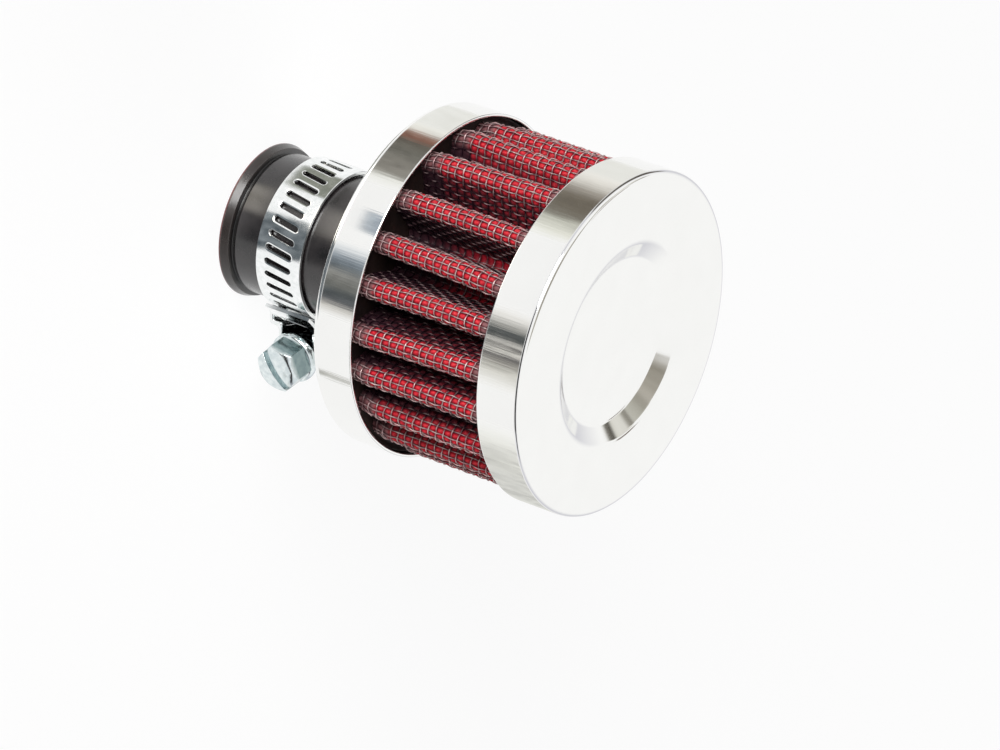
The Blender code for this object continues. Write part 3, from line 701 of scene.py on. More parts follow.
def tubes(paths, outwards, radius, closed):
    """Round tubes along many paths at once.

    paths is (tubes, stations, 3) and outwards the direction that each station's cloth faces. A ring
    has its corners at path + radius (cos a outwards + sin a side), with side across the path.
    """
    if closed:
        tangent = np.roll(paths, -1, axis=1) - np.roll(paths, 1, axis=1)
    else:
        tangent = np.gradient(paths, axis=1)
    tangent /= np.linalg.norm(tangent, axis=2, keepdims=True)
    side = np.cross(tangent, outwards)
    side /= np.linalg.norm(side, axis=2, keepdims=True)
    normal = np.cross(side, tangent)
    angle = np.linspace(0, TAU, WIRE_SIDES, endpoint=False)[:, None]
    rings = normal[:, :, None] * np.cos(angle) + side[:, :, None] * np.sin(angle)
    points = (paths[:, :, None] + radius * rings).reshape(-1, 3)
    count, stations = paths.shape[:2]
    one = grid_faces(stations, WIRE_SIDES, closed, True)
    faces = (one[None] + (np.arange(count) * stations * WIRE_SIDES)[:, None, None]).reshape(-1, 4)
    if closed:
        return points, [faces]
    rim = np.arange(WIRE_SIDES)
    ends = np.concatenate([rim[::-1], rim + (stations - 1) * WIRE_SIDES]).reshape(2, -1)
    lids = ends[None] + (np.arange(count) * stations * WIRE_SIDES)[:, None, None]
    return points, [faces, lids.reshape(-1, WIRE_SIDES)]


# %% Painted shade on the wires, and one set of them
def wire_painted_shade(paths, depth, share):
    """A painted shade value for each corner of a tube.

    It is the cloth's, less a share of it where the weave lifts the wire, which leaves a painted
    highlight there. Low in the weave it adds a little painted shade of its own.
    """
    raised = smooth((CLOTH_DEPTH - depth) / WEAVE * 0.7 + 0.4)
    cloth_shade = painted_flank_shade(paths[..., 0] + 1j * paths[..., 1], paths[..., 2])
    painted_shade = cloth_shade * (1 - share * raised**4) + (1 - cloth_shade) * 0.4 * (1 - raised)
    return np.repeat(painted_shade.ravel(), WIRE_SIDES)


def woven(kind, along, depth, z, first, share, closed):
    """One set of wires, given as (wire, station), in two pieces: the first few wires, and the rest."""
    flat = settled(folded(along, depth), z)
    above = settled(folded(along, depth - 0.3), z)
    paths, outwards = lifted(flat, z), lifted((above - flat) / abs(above - flat), 0.0)
    for ending, part in (("_a", slice(0, first)), ("_b", slice(first, None))):
        points, faces = tubes(paths[part], outwards[part], WIRE_RADIUS, closed)
        painted_shade = wire_painted_shade(paths[part], depth[part], share)
        wires = new_piece(kind + ending, points, faces, wire, fields={"painted_shade": painted_shade})
        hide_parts("outer_screen")


# %% The hoop wires and the long wires
HOOPS = 19
hoop_along = np.arange(0, CLOTH_LENGTH - 1e-6, LONG_PITCH / 3)
hoop_s, hoop_row = np.meshgrid(hoop_along, np.arange(HOOPS))
hoop_depth = CLOTH_DEPTH + WEAVE * np.cos(math.pi * (hoop_s / LONG_PITCH + hoop_row))
hoop_wave = 0.05 * np.sin(hoop_s * 0.61 + 2.0 * hoop_row) + 0.04 * np.sin(hoop_s * 0.23 - hoop_row)
hoop_z = FIRST_HOOP + HOOP_PITCH * hoop_row + hoop_wave
woven("hoop_wires", hoop_s, hoop_depth, hoop_z, 10, 0.10, True)

LONGS = PLEATS * LONG_PER_PLEAT
long_stations = np.arange(REAR_RIM - 1.6, FRONT_RIM + 1.3, HOOP_PITCH / 3)
long_row, long_z = np.meshgrid(np.arange(LONGS), long_stations, indexing="ij")
long_phase = (long_z - FIRST_HOOP) / HOOP_PITCH + long_row
long_depth = CLOTH_DEPTH - WEAVE * np.cos(math.pi * long_phase)
long_wave = 0.05 * np.sin(long_z * 0.7 + 2.4 * long_row) + 0.05 * np.sin(0.31 * long_z + long_row)
long_s = np.mod(long_row * LONG_PITCH + long_wave, CLOTH_LENGTH)
woven("long_wires", long_s, long_depth, long_z, LONGS // 2, 0.55, False)

# %% [markdown]
# ## Inner screen
#
# A second wire cloth holds the gauze from inside. Hardly anything shows of it, so it is one thin
# folded sheet that follows the same path, with the weave in its material.

# %% The inner screen
inner_finish, tree, shader = new_finish("inner_wire_cloth", {"Metallic": 1.0, "Roughness": 0.5})
spot = node(tree, "TexCoord").outputs["Object"]
weave = node(tree, "TexNoise", {"Vector": spot, "Scale": per_mm(0.6), "Detail": 2.0})
tone = node(tree, "ValToRGB", {"Fac": weave}, [(0.4, "#3A2A2A"), (0.6, "#9A8A88")])
bump = node(tree, "Bump", {"Height": weave, "Strength": 0.8, "Distance": 0.2 * MM})
put(tree, shader, {"Base Color": tone, "Normal": bump})

INNER_DEPTHS = (1.33, 1.58)
inner_s = np.arange(0, CLOTH_LENGTH - 1e-6, PLEAT_LENGTH / 60)[:, None]
inner_z = np.array([ELEMENT_LOW, 36.0, 40.0, 44.5, 49.0, 53.0, ELEMENT_HIGH])
inner_loop = np.concatenate([inner_z, inner_z[::-1]])[None, :]
inner_depth = np.repeat(INNER_DEPTHS, len(inner_z))[None, :]
points = lifted(settled(folded(inner_s, inner_depth), inner_loop), inner_loop).reshape(-1, 3)
faces = [grid_faces(len(inner_s), inner_loop.size, True, True)]
inner = new_piece("inner_cloth", points, faces, inner_finish)
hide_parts("inner_screen")

# %% [markdown]
# ## Zinc plating
#
# The clamp is steel strip with bright zinc. Zinc is a little bluer and duller than chrome, the strip
# keeps the fine lines of its rolling, and the plating shows a faint spangle. The screw's zinc was
# passivated, which gives it a pale blue cast.

# %% Zinc finishes
def zinc(name, dark, light, rough_low, rough_high):
    """Zinc-plated steel: two tones in a 0.8 mm spangle, with a fine grain in the gloss.

    Where a piece has the field "dull", 0.5 is a sheared face, greyer than the rest, and 1 is painted
    shade, nearly black.
    """
    made, tree, shader = new_finish(name, {"Metallic": 1.0})
    spot = node(tree, "TexCoord").outputs["Object"]
    spangle = node(tree, "TexNoise", {"Vector": spot, "Scale": per_mm(0.8), "Detail": 6.0})
    tone = node(tree, "ValToRGB", {"Fac": spangle}, [(0.35, dark), (0.65, light)])
    dull = node(tree, "Attribute", attribute_name="dull").outputs["Fac"]
    # The stop at 1 is painted shade.
    stops = [(0.0, "#FFFFFF"), (0.5, "#A3B1B2"), (1.0, "#1C1E1E")]
    whole = node(tree, "ValToRGB", {"Fac": dull}, stops)
    both = {"Fac": 1.0, "Color1": tone, "Color2": whole}
    tone = node(tree, "MixRGB", both, blend_type="MULTIPLY")
    gloss = node(tree, "MapRange", {"Value": spangle, "To Min": rough_low, "To Max": rough_high})
    grain = node(tree, "TexNoise", {"Vector": spot, "Scale": per_mm(0.2), "Detail": 3.0})
    bump = node(tree, "Bump", {"Height": grain, "Strength": 0.35, "Distance": 0.01 * MM})
    put(tree, shader, {"Base Color": tone, "Roughness": gloss, "Normal": bump})
    print("made", name)
    return made


bright_zinc = zinc("bright_zinc_strip", "#EEF1F0", "#FAFBFB", 0.08, 0.15)
blue_zinc = zinc("blue_passivated_zinc", "#D0DADC", "#E8EFEF", 0.10, 0.18)

# %% [markdown]
# ## Slotted clamp band
#
# The band is a steel strip with slots punched through it, which the worm's thread reaches into. It is
# worked out flat first: length along the strip, distance across it, and level through its thickness.
# Around a slot the corners go in rings, from the edge of a cell to the edge of the slot and through
# the metal to the other side, so the slots are true holes. The punch draws the outer edge of a slot
# in, which leaves a shallow slope that catches the light all round it. Then the strip is wound:
# length becomes an angle, level is added to the radius, and the radius climbs where the strip passes
# over its own start.

# %% One cell of the strip
BAND_WIDTH, BAND_MIDDLE = BAND_HIGH - BAND_LOW, (BAND_LOW + BAND_HIGH) / 2
STRIP = 0.55
ROUNDING = 0.07
SLOT_LONG, SLOT_WIDE = 4.5, 0.86
SLOT_SKEW = math.radians(9.0)
CHAMFER, CHAMFER_DROP = 0.19, 0.085
PITCH = 2.065
INNER_LAYER, OUTER_LAYER, TAIL_LAYER = 11.075, 12.625, 11.925
BAND_FIXED, BAND_TAIL = 64.0, -11.0
BAND_TURN = 360.0 + BAND_FIXED - BAND_TAIL
CELL_TURN = math.degrees(PITCH / INNER_LAYER)
CELLS = round(BAND_TURN / CELL_TURN)
FIRST_SLOT_TURN, LAST_SLOT_TURN = 30.0, BAND_TURN - 6.0
LAYER_TURNS = [0.0, BAND_FIXED + 272.0, BAND_FIXED + 296.0, BAND_FIXED + 352.7, BAND_TURN]

half_z = BAND_WIDTH / 2 - ROUNDING
straight = SLOT_LONG / 2 - SLOT_WIDE / 2
side_rows = np.linspace(-straight, straight, 7)
past_slot = 2.7
side_z = np.concatenate([[-half_z, -past_slot], side_rows, [past_slot, half_z]])
top_x = np.array([0.5, 0.0, -0.5])


def cell_rings():
    """One cell around a slot, as rings of corners: (ring, corner, [along, across, level])."""
    edge_right = np.stack([0 * side_rows + PITCH / 2, side_rows], 1)
    edge_top = np.array([(PITCH / 2, past_slot), (PITCH / 2, half_z), *[(x, half_z) for x in top_x],
                         (-PITCH / 2, half_z), (-PITCH / 2, past_slot)])
    edge = np.vstack([edge_right, edge_top, -edge_right, -edge_top])
    angle = np.linspace(0, math.pi, 9)[1:-1]
    round_end = np.stack([np.cos(angle), np.sin(angle)], 1)
    flat_side = np.tile([1.0, 0.0], (len(side_rows), 1))
    slot_top = round_end * SLOT_WIDE / 2 + (0, straight)
    slot_right = np.stack([0 * side_rows + SLOT_WIDE / 2, side_rows], 1)
    slot = np.vstack([slot_right, slot_top, -slot_right, -slot_top])
    slot[:, 0] -= slot[:, 1] * math.tan(SLOT_SKEW)
    away = np.vstack([flat_side, round_end, -flat_side, -round_end])
    level = STRIP / 2
    rings = [(edge, -level), (slot + ROUNDING * away, -level), (slot, ROUNDING - level)]
    rings += [(slot, level - CHAMFER_DROP), (slot + CHAMFER * away, level)]
    rings += [(slot + (CHAMFER + 0.04) * away, level), (edge, level)]
    return np.array([np.column_stack([ring, np.full(len(ring), at)]) for ring, at in rings])


# %% All cells of the strip
def flat_strip():
    """Corners and faces of the whole strip before it is wound."""
    starts = np.arange(CELLS) * CELL_TURN
    slotted = (starts >= FIRST_SLOT_TURN) & (starts + CELL_TURN <= LAST_SLOT_TURN)
    middles = (np.arange(CELLS) + 0.5) * PITCH
    rings = cell_rings()
    cell = grid_faces(*rings.shape[:2], False, True)
    points, faces, count = [], [], 0

    def gather(block, quads):
        """Adds copies of one block of corners, (copy, corner, 3), with the same faces for each."""
        nonlocal count
        size = block.shape[1]
        points.append(block.reshape(-1, 3))
        first = count + size * np.arange(len(block))
        faces.append((quads[None] + first[:, None, None]).reshape(-1, 4))
        count += size * len(block)

    def at(places, block):
        """The same block of corners at several distances along the strip."""
        return block.reshape(1, -1, 3) + np.array([1, 0, 0]) * places[:, None, None]

    gather(at(middles[slotted], rings), cell)
    across = np.array([PITCH / 2, *top_x, -PITCH / 2])
    plain = np.stack(np.meshgrid(across, side_z, indexing="ij"), -1).reshape(-1, 2)
    sheet = grid_faces(len(across), len(side_z))
    for level, quads in ((STRIP / 2, sheet[:, ::-1]), (-STRIP / 2, sheet)):
        gather(at(middles[~slotted], np.column_stack([plain, np.full(len(plain), level)])), quads)
    level = STRIP / 2
    edge = np.array([(half_z, -level), (half_z + ROUNDING, ROUNDING - level),
                     (half_z + ROUNDING, level - ROUNDING), (half_z, level)])
    for sign in (1, -1):
        strip = np.array([[(x, sign * z, n) for z, n in edge] for x in across])
        gather(at(middles, strip), grid_faces(len(across), 4)[:, ::sign])
    across = np.concatenate([[-half_z - ROUNDING], side_z, [half_z + ROUNDING]])
    low = np.full(len(across), -level)
    low[[0, -1]] += ROUNDING
    tip = np.stack([np.stack([0 * low, across, low], 1), np.stack([0 * low, across, -low], 1)], 1)
    gather(at(np.zeros(1), tip), grid_faces(len(across), 2)[:, ::-1])
    gather(at(np.full(1, CELLS * PITCH), tip), grid_faces(len(across), 2))
    return np.concatenate(points), np.concatenate(faces)


# %% The wound band
def wound(points):
    """Winds the flat strip: angle = fixed end - turn, and radius = layer(turn) + level."""
    turn = points[:, 0] / PITCH * CELL_TURN
    layers = [INNER_LAYER, INNER_LAYER, OUTER_LAYER, OUTER_LAYER, TAIL_LAYER]
    piece = np.clip(np.searchsorted(LAYER_TURNS, turn, side="right") - 1, 0, 3)
    low, high = np.take(LAYER_TURNS, piece), np.take(LAYER_TURNS, piece + 1)
    climb = smooth((turn - low) / (high - low))
    radius = np.take(layers, piece) * (1 - climb) + np.take(layers, piece + 1) * climb
    flat = (radius + points[:, 2]) * np.exp(1j * np.radians(BAND_FIXED - turn))
    return lifted(flat, points[:, 1] + BAND_MIDDLE)


points, faces = flat_strip()
points, faces = welded(points, faces)
band = new_piece("slotted_band", wound(points), faces, bright_zinc)
band.data.set_sharp_from_angle(angle=math.radians(40))
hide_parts("clamp_band")
print("cells along the strip:", CELLS)

# %% [markdown]
# ## Worm housing
#
# The housing is pressed from one strip: a saddle under the band, two sides and an arch that the worm
# turns in. Seen along the worm it is one closed wall, so an outer and an inner outline with equal
# numbers of corners give the section. Carried along the worm, the low parts bend with the neck, where
# height = sqrt(radius^2 - distance^2), and the arch stays straight.

# %% The housing
CLAMP_ANGLE = math.radians(37.0)
WORM_HEIGHT = 15.7
HOUSING_LOW, HOUSING_HIGH = -6.0, 7.2
outwards = np.array([math.cos(CLAMP_ANGLE), math.sin(CLAMP_ANGLE), 0.0])
worm_way = np.array([math.sin(CLAMP_ANGLE), -math.cos(CLAMP_ANGLE), 0.0])
forwards = np.array([0.0, 0.0, 1.0])


def clamp_points(across, height, along):
    """World points from the clamp's own directions.

    They are across the band, away from the filter's axis, and along the worm.
    """
    spot = across[..., None] * forwards + height[..., None] * outwards + along[..., None] * worm_way
    return spot + BAND_MIDDLE * forwards


outline = rounded(
    [(4.85, 11.55), (4.85, 14.0), (3.3, 14.0), (3.3, 19.0), (-3.3, 19.0), (-3.3, 14.0), (-4.85, 14.0),
     (-4.85, 11.55)],
    [0.5, 0.5, 0.6, 3.2, 3.2, 0.6, 0.5, 0.5],
)
opening = rounded(
    [(4.15, 12.15), (4.15, 13.3), (2.6, 13.3), (2.6, 18.3), (-2.6, 18.3), (-2.6, 13.3), (-4.15, 13.3),
     (-4.15, 12.15)],
    [0.2, 0.2, 0.5, 2.5, 2.5, 0.5, 0.2, 0.2],
)
stations = np.linspace(HOUSING_LOW + 0.1, HOUSING_HIGH - 0.1, 14)
wall_share = np.concatenate([[0.14], 0 * stations, [0.14, 0.86], 0 * stations + 1, [0.86]])
wall_along = np.concatenate(
    [[HOUSING_LOW], stations, [HOUSING_HIGH, HOUSING_HIGH], stations[::-1], [HOUSING_LOW]]
)
section = outline[:, None] * (1 - wall_share) + opening[:, None] * wall_share
along = wall_along + 0 * section.real
bent = np.sqrt(section.imag**2 - along**2)
section_height = np.where(section.imag < 15.0, bent, section.imag)
points = clamp_points(section.real, section_height, along).reshape(-1, 3)
housing = new_piece(
    "worm_housing", points, [grid_faces(len(outline), len(wall_along), True, True)], bright_zinc
)
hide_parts("clamp_housing")

# %% [markdown]
# ## Worm screw
#
# The screw is a hexagon head on a flange, with a worm behind it whose thread rises once per band slot.
# The body is turned, with the thread added to its radius: the thread's height follows
# cos(2 pi (distance / pitch - angle)), flattened at crest and root.
#
# The head is a sheet laid over the hexagon and bent down. Its rows run along the driver slot, from one
# flat side of the hexagon to another, so their ends are where the row meets the nearest flat. The
# height of each corner is the least of three: the dome, the floor of the slot, and the levels that the
# outermost corners of a row are held at. The last make the six flat sides.

# %% The screw's body and thread
FLANGE_LOW, FLANGE_TOP, HEAD_TOP = 7.5, 8.7, 12.9
FLANGE_RADIUS = 3.8
HALF_FLATS = 6.35 / 2
SLOT_FLOOR = HEAD_TOP - 1.5
THREAD_CREST, THREAD_ROOT = 2.45, 1.75

body_path = rounded(
    [(0.0, -5.6), (THREAD_ROOT, -5.6), (THREAD_ROOT, FLANGE_LOW), (FLANGE_RADIUS, FLANGE_LOW),
     (FLANGE_RADIUS, FLANGE_TOP - 0.1), (2.6, FLANGE_TOP + 0.15), (0.0, FLANGE_TOP + 0.15)],
    [0.0, 0.5, 0.2, 0.3, 0.6, 0.3, 0.0],
)
after_end = np.searchsorted(body_path.imag, -5.0)
thread_z = np.arange(-4.95, 7.2, PITCH / 12)
body_path = np.concatenate(
    [body_path[:after_end], THREAD_ROOT + 1j * thread_z, body_path[body_path.imag > 7.22]]
)
BODY_STEPS = 40
angle = np.linspace(0, TAU, BODY_STEPS, endpoint=False)[:, None]
wave = np.cos(TAU * body_path.imag / PITCH - angle)
ends = smooth((body_path.imag + 5.4) / 1.2) * smooth((6.6 - body_path.imag) / 1.0)
radius = body_path.real + (THREAD_CREST - THREAD_ROOT) * smooth((wave + 0.35) / 0.9) * ends
body_points = lifted(radius * (np.cos(angle) + 1j * np.sin(angle)), body_path.imag).reshape(-1, 3)
body_points, body_faces = welded(body_points, grid_faces(BODY_STEPS, len(body_path), True))

# %% The head
HEX_TURN, SLOT_TURN = math.radians(20.0), math.radians(37.0)
half_slot = 0.5
flats = np.exp(1j * (HEX_TURN - SLOT_TURN + np.arange(6) * math.pi / 3))
corner_x = np.sort((2 * HALF_FLATS / math.sqrt(3) * flats * np.exp(1j * math.pi / 6)).real)
fixed_x = np.concatenate([corner_x, [-half_slot, half_slot]])
filling = np.linspace(corner_x[0], corner_x[-1], 17)
filling = filling[abs(filling[:, None] - fixed_x).min(1) > 0.15]
head_x = np.sort(np.concatenate([fixed_x, filling, [-half_slot, half_slot]]))
row_level = np.where(abs(head_x) > half_slot + 1e-6, HEAD_TOP, SLOT_FLOOR)
slot_edges = np.flatnonzero(abs(abs(head_x) - half_slot) < 1e-6)
row_level[slot_edges[[0, -1]]] = HEAD_TOP
head_x, row_level = head_x[:, None], row_level[:, None]
upper, lower = flats[flats.imag > 0.01], flats[flats.imag < -0.01]
top_y = ((HALF_FLATS - upper.real * head_x) / upper.imag).min(1, keepdims=True)
low_y = ((HALF_FLATS - lower.real * head_x) / lower.imag).max(1, keepdims=True)
share_y = np.concatenate([[0, 0], np.linspace(0, 1, 15), [1, 1]])[None, :]
column_level = np.full(share_y.shape, HEAD_TOP)
column_level[0, [0, 1, -2, -1]] = FLANGE_TOP, SLOT_FLOOR, SLOT_FLOOR, FLANGE_TOP
head_y = low_y + share_y * (top_y - low_y)
far = np.hypot(head_x, head_y)
dome = HEAD_TOP - 0.052 * far**2 - 0.55 * np.clip(far - 3.05, 0, None)
head_z = np.minimum(np.minimum(dome, row_level), column_level)
head_top = np.stack([head_x + 0 * head_y, head_y, head_z], -1).reshape(-1, 3)
head_base = head_top * (1, 1, 0) + (0, 0, FLANGE_TOP)
sheet = grid_faces(*head_z.shape)
head_points, head_faces = welded(
    np.vstack([head_top, head_base]), np.vstack([sheet, sheet[:, ::-1] + len(head_top)])
)
turned = (head_points[:, 0] + 1j * head_points[:, 1]) * np.exp(1j * SLOT_TURN)
head_points = lifted(turned, head_points[:, 2])
head_faces, body_faces = turned_out(head_points, head_faces), turned_out(body_points, body_faces)

# %% The whole screw
local = np.vstack([body_points, head_points])
points = clamp_points(local[:, 0], WORM_HEIGHT - local[:, 1], local[:, 2])
faces = [np.vstack([a, b + len(body_points)]) for a, b in zip(body_faces, head_faces)]
# The sides of the hexagon were sheared, and are duller than the rest. The worm, under the housing's
# arch, is painted near black: painted shade.
inside = np.hypot(head_points[:, 0], head_points[:, 1]) < HALF_FLATS - 0.05
on_side = (head_points[:, 2] < SLOT_FLOOR + 0.01) & ~inside
dull = np.append(1.0 * (body_points[:, 2] < FLANGE_LOW - 0.3), 0.5 * on_side)
screw = new_piece("worm_screw", points, faces, blue_zinc, body="screw", fields={"dull": dull})
screw.data.set_sharp_from_angle(angle=math.radians(35))
bevel = screw.modifiers.new("worn_edges", "BEVEL")
bevel.width, bevel.segments, bevel.limit_method = 0.09 * MM, 2, "ANGLE"
bevel.angle_limit = math.radians(35)
bevel.harden_normals = True
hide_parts("clamp_screw")

# %% [markdown]
# ## Studio
#
# The filter stands on a large pale floor in a white room. Two materials share one idea: what the
# camera or a mirror sees directly is drawn white, and what lights the scene stays at a plain level. A
# Light Path node tells the two apart. The floor keeps a little plain diffuse shading in what the
# camera sees, so the shadow of the filter stays on it.

# %% Floor and room
def seen_directly(tree):
    """1 for rays from the camera, off a mirror or through glass, and 0 for rays that carry light."""
    path = node(tree, "LightPath")
    seen = node(tree, "Math", {0: path.outputs["Is Camera Ray"], 1: path.outputs["Is Glossy Ray"]})
    return node(tree, "Math", {0: seen, 1: path.outputs["Is Transmission Ray"]}, use_clamp=True)


def bare_material(name):
    """A material with no nodes yet, and its node tree."""
    made = bpy.data.materials.new(name)
    made.use_nodes = True
    made.node_tree.nodes.clear()
    return made, made.node_tree


WHITE, ROOM_GREY = colour("#FFFFFF"), "#D4D4DB"
FLOOR_HALF = 3000
floor_material, tree = bare_material("pale_floor")
plain = node(tree, "BsdfDiffuse", {"Color": colour("#9A9A9A")})
faint = node(tree, "BsdfDiffuse", {"Color": (0.13, 0.13, 0.13, 1.0)})
white = node(tree, "Emission", {"Color": WHITE, "Strength": 0.90})
lit = node(tree, "AddShader", {0: faint, 1: white})
# A mirror shows the far floor a little greyer, as in a room whose lamps are close to the table.
spot = node(tree, "TexCoord").outputs["Object"]
away = node(tree, "VectorMath", {0: spot}, operation="LENGTH").outputs["Value"]
far = node(tree, "MapRange", {"Value": away, "From Min": 0.12, "From Max": 0.4})
mirrored = node(tree, "LightPath").outputs["Is Glossy Ray"]
far = node(tree, "Math", {0: far, 1: mirrored}, operation="MULTIPLY")
greyer = node(tree, "Emission", {"Color": colour(ROOM_GREY)})
direct = node(tree, "MixShader", {0: far, 1: lit, 2: greyer})
floor_look = node(tree, "MixShader", {0: seen_directly(tree), 1: plain, 2: direct})
node(tree, "OutputMaterial", {"Surface": floor_look})
points = FLOOR_HALF * np.array([(-1, -1, 0), (1, -1, 0), (1, 1, 0), (-1, 1, 0)], float)
floor = new_piece("floor", points, [np.array([[0, 1, 2, 3]])], floor_material, body=None)

ROOM_LIGHT = 0.10
world = bpy.data.worlds.new("white_room")
bpy.context.scene.world = world
world.use_nodes = True
tree = world.node_tree
# Mirrors show the room's walls, near the horizon, a little greyer than its ceiling.
rise = node(tree, "SeparateXYZ", {"Vector": node(tree, "TexCoord").outputs["Generated"]}).outputs["Z"]
walls = node(tree, "ValToRGB", {"Fac": rise}, [(0.0, ROOM_GREY), (0.45, "#FFFFFF")])
mirrored = node(tree, "LightPath").outputs["Is Glossy Ray"]
sky_tone = node(tree, "MixRGB", {"Fac": mirrored, "Color1": WHITE, "Color2": walls})
level = node(tree, "MapRange", {"Value": seen_directly(tree), "To Min": ROOM_LIGHT, "To Max": 1.0})
put(tree, tree.nodes["Background"], {"Color": sky_tone, "Strength": level})

# %% [markdown]
# ## Lamps
#
# One large soft lamp stands on the camera's side, towards what is the top of the photograph, so that
# one flank of every pleat is lit and the other falls into shadow. A weaker one fills from the other
# side, and a third lights the back. A square lamp at a distance d gives a facing white surface the
# brightness power / (pi^2 d^2) near enough, so the power follows from the brightness that is wanted.

# %% Three soft lamps
MIDDLE_HEIGHT = 35


def soft_lamp(name, towards, distance, size, brightness):
    """A square lamp that faces the middle of the filter, placed in a direction from it."""
    data = bpy.data.lights.new(name, "AREA")
    data.size = size
    data.energy = brightness * (math.pi * distance) ** 2
    lamp = bpy.data.objects.new(name, data)
    aim = Vector(towards).normalized()
    lamp.location = Vector((0, 0, MIDDLE_HEIGHT * MM)) + aim * distance
    lamp.rotation_euler = aim.to_track_quat("Z", "Y").to_euler()
    lamp.visible_camera = False
    bpy.context.scene.collection.objects.link(lamp)
    return lamp


key = soft_lamp("key_lamp", (-0.34, -0.89, 0.28), 0.9, 0.50, 1.10)
fill = soft_lamp("fill_lamp", (0.60, -0.75, 0.28), 1.1, 0.70, 0.14)
rear = soft_lamp("rear_lamp", (0.45, 0.85, 0.40), 1.1, 0.70, 0.50)
# Chrome would show these two as plain white squares, in front of the room's cards.
fill.visible_glossy = rear.visible_glossy = False
print("lamps", key.data.energy, fill.data.energy, rear.data.energy)

# %% [markdown]
# ## Cards for the mirrors to show
#
# Chrome in a white room looks like white paint. Photographers lay grey cards round it, and here they
# lie on the floor. A camera that looks down at 30 degrees sees the floor in every upright side: the
# ray that leaves a side at angle a goes towards 2 a + 90 degrees, and meets the floor z / tan 30 away
# from there. So a card between two such directions shows as a grey band between two angles, and the
# tones across it show in the same order. A worn card is streaky, and so are the bands that the drawn
# steel shows. The cards are seen by mirrors only.

# %% Card material and soft edges
def card(name, points, tones, grain=6.0, edge=0.12, places=None, strength=1.0):
    """A glossy-only card from a grid of corners, clear at its edges.

    With places, the tones are a ramp across the card, and fine streaks run along it and wear it darker
    in its middle. Without, they are two tones of one cloud.
    """
    material, tree = bare_material(name + "_tone")
    spot = node(tree, "TexCoord").outputs["Object"]
    cloud = node(tree, "TexNoise", {"Vector": spot, "Scale": per_mm(grain), "Detail": 5.0})
    if places is None:
        tone = node(tree, "ValToRGB", {"Fac": cloud}, [(0.35, tones[0]), (0.65, tones[1])])
    else:
        across = node(tree, "Attribute", attribute_name="across").outputs["Fac"]
        along = node(tree, "Attribute", attribute_name="along").outputs["Fac"]
        line = node(tree, "CombineXYZ", {"X": across, "Y": along})
        line = node(tree, "Mapping", {"Vector": line, "Scale": (40.0, 2.5, 1.0)})
        streak = node(tree, "TexNoise", {"Vector": line, "Scale": 1.0, "Detail": 4.0})
        shift = node(tree, "MapRange", {"Value": streak, "To Min": -0.05, "To Max": 0.05})
        shifted = node(tree, "Math", {0: across, 1: shift}, operation="ADD")
        tone = node(tree, "ValToRGB", {"Fac": shifted}, list(zip(places, tones)))
        worn = node(tree, "Attribute", attribute_name="worn").outputs["Fac"]
        for noise in (cloud, streak):
            mottle = node(tree, "ValToRGB", {"Fac": noise}, [(0.3, "#C8C8C8"), (0.6, "#FFFFFF")])
            both = {"Fac": worn, "Color1": tone, "Color2": mottle}
            tone = node(tree, "MixRGB", both, blend_type="MULTIPLY")
    grey = node(tree, "Emission", {"Color": tone, "Strength": strength})
    solid = node(tree, "Attribute", attribute_name="fade").outputs["Fac"]
    look = node(tree, "MixShader", {0: solid, 1: node(tree, "BsdfTransparent"), 2: grey})
    node(tree, "OutputMaterial", {"Surface": look})
    rows, columns = points.shape[:2]
    u, v = np.linspace(0, 1, rows)[:, None], np.linspace(0, 1, columns)[None, :]
    fade = smooth(np.minimum(v, 1 - v) / edge) * smooth(np.minimum(u, 1 - u) / 0.12 + 0.05)
    worn = smooth(np.minimum(v, 1 - v) / 0.3) + 0 * u
    fields = {"fade": fade, "across": v + 0 * u, "along": u + 0 * v, "worn": worn}
    faces = [grid_faces(rows, columns)]
    made = new_piece(name, points.reshape(-1, 3), faces, material, body=None, fields=fields)
    made.visible_camera = made.visible_diffuse = made.visible_shadow = False


# %% Cards on the floor
CARD_ROWS, CARD_COLUMNS = 13, 33


def floor_points(radius, reaches, starts, ends, height=0.1):
    """Corners that the sides of one radius mirror between two angles, at each reach from them.

    The corner for reach t and angle a is radius (cos a, sin a) + t (cos b, sin b), b = 2 a + 90.
    """
    step = np.linspace(0, 1, CARD_ROWS)[:, None]
    low = np.radians(starts[0] + (starts[1] - starts[0]) * step)
    high = np.radians(ends[0] + (ends[1] - ends[0]) * step)
    a = low + (high - low) * np.linspace(0, 1, CARD_COLUMNS)[None, :]
    t = reaches[0] + (reaches[1] - reaches[0]) * step
    return lifted(radius * np.exp(1j * a) + t * np.exp(1j * (2 * a + math.pi / 2)), height)


def banded_card(name, reaches, stops):
    """A card for the cups' sides, whose tones are given at the angles that mirror them."""
    angles = np.array([angle for angle, _ in stops], float)
    places = (angles - angles[0]) / (angles[-1] - angles[0])
    points = floor_points(CAP_RADIUS, reaches, (angles[0], angles[0]), (angles[-1], angles[-1]))
    card(name, points, [tone for _, tone in stops], 3.0, 0.04, places.tolist())


# The rear cup mirrors the floor 47 to 58 mm away from it, and the front cup 96 to 108 mm.
NEAR, FAR = (36, 76), (84, 140)
top_points = floor_points(CAP_RADIUS, (36, 140), (-160, -162), (-138, -142), 0.05)
card("card_top", top_points, ("#EAEAE5", "#F0F0EC"))
banded_card("card_olive_near", NEAR, [
    (-142, "#FAFAF4"), (-138, "#F0EDE6"), (-136.3, "#A58678"), (-134, "#9A6F60"), (-132, "#78736A"),
    (-127, "#84827A"), (-121, "#9E9A92"), (-117.5, "#A09D95"), (-115.8, "#FAFAF4"), (-112, "#FFFFFF"),
])
banded_card("card_olive_far", FAR, [
    (-147, "#F6F4EF"), (-140, "#F0ECE4"), (-136.5, "#BCB5AB"), (-133, "#857D71"), (-127, "#80796D"),
    (-124, "#938E83"), (-122, "#DCDCD0"), (-117, "#F2F2E8"), (-114, "#FFFFFF"),
])
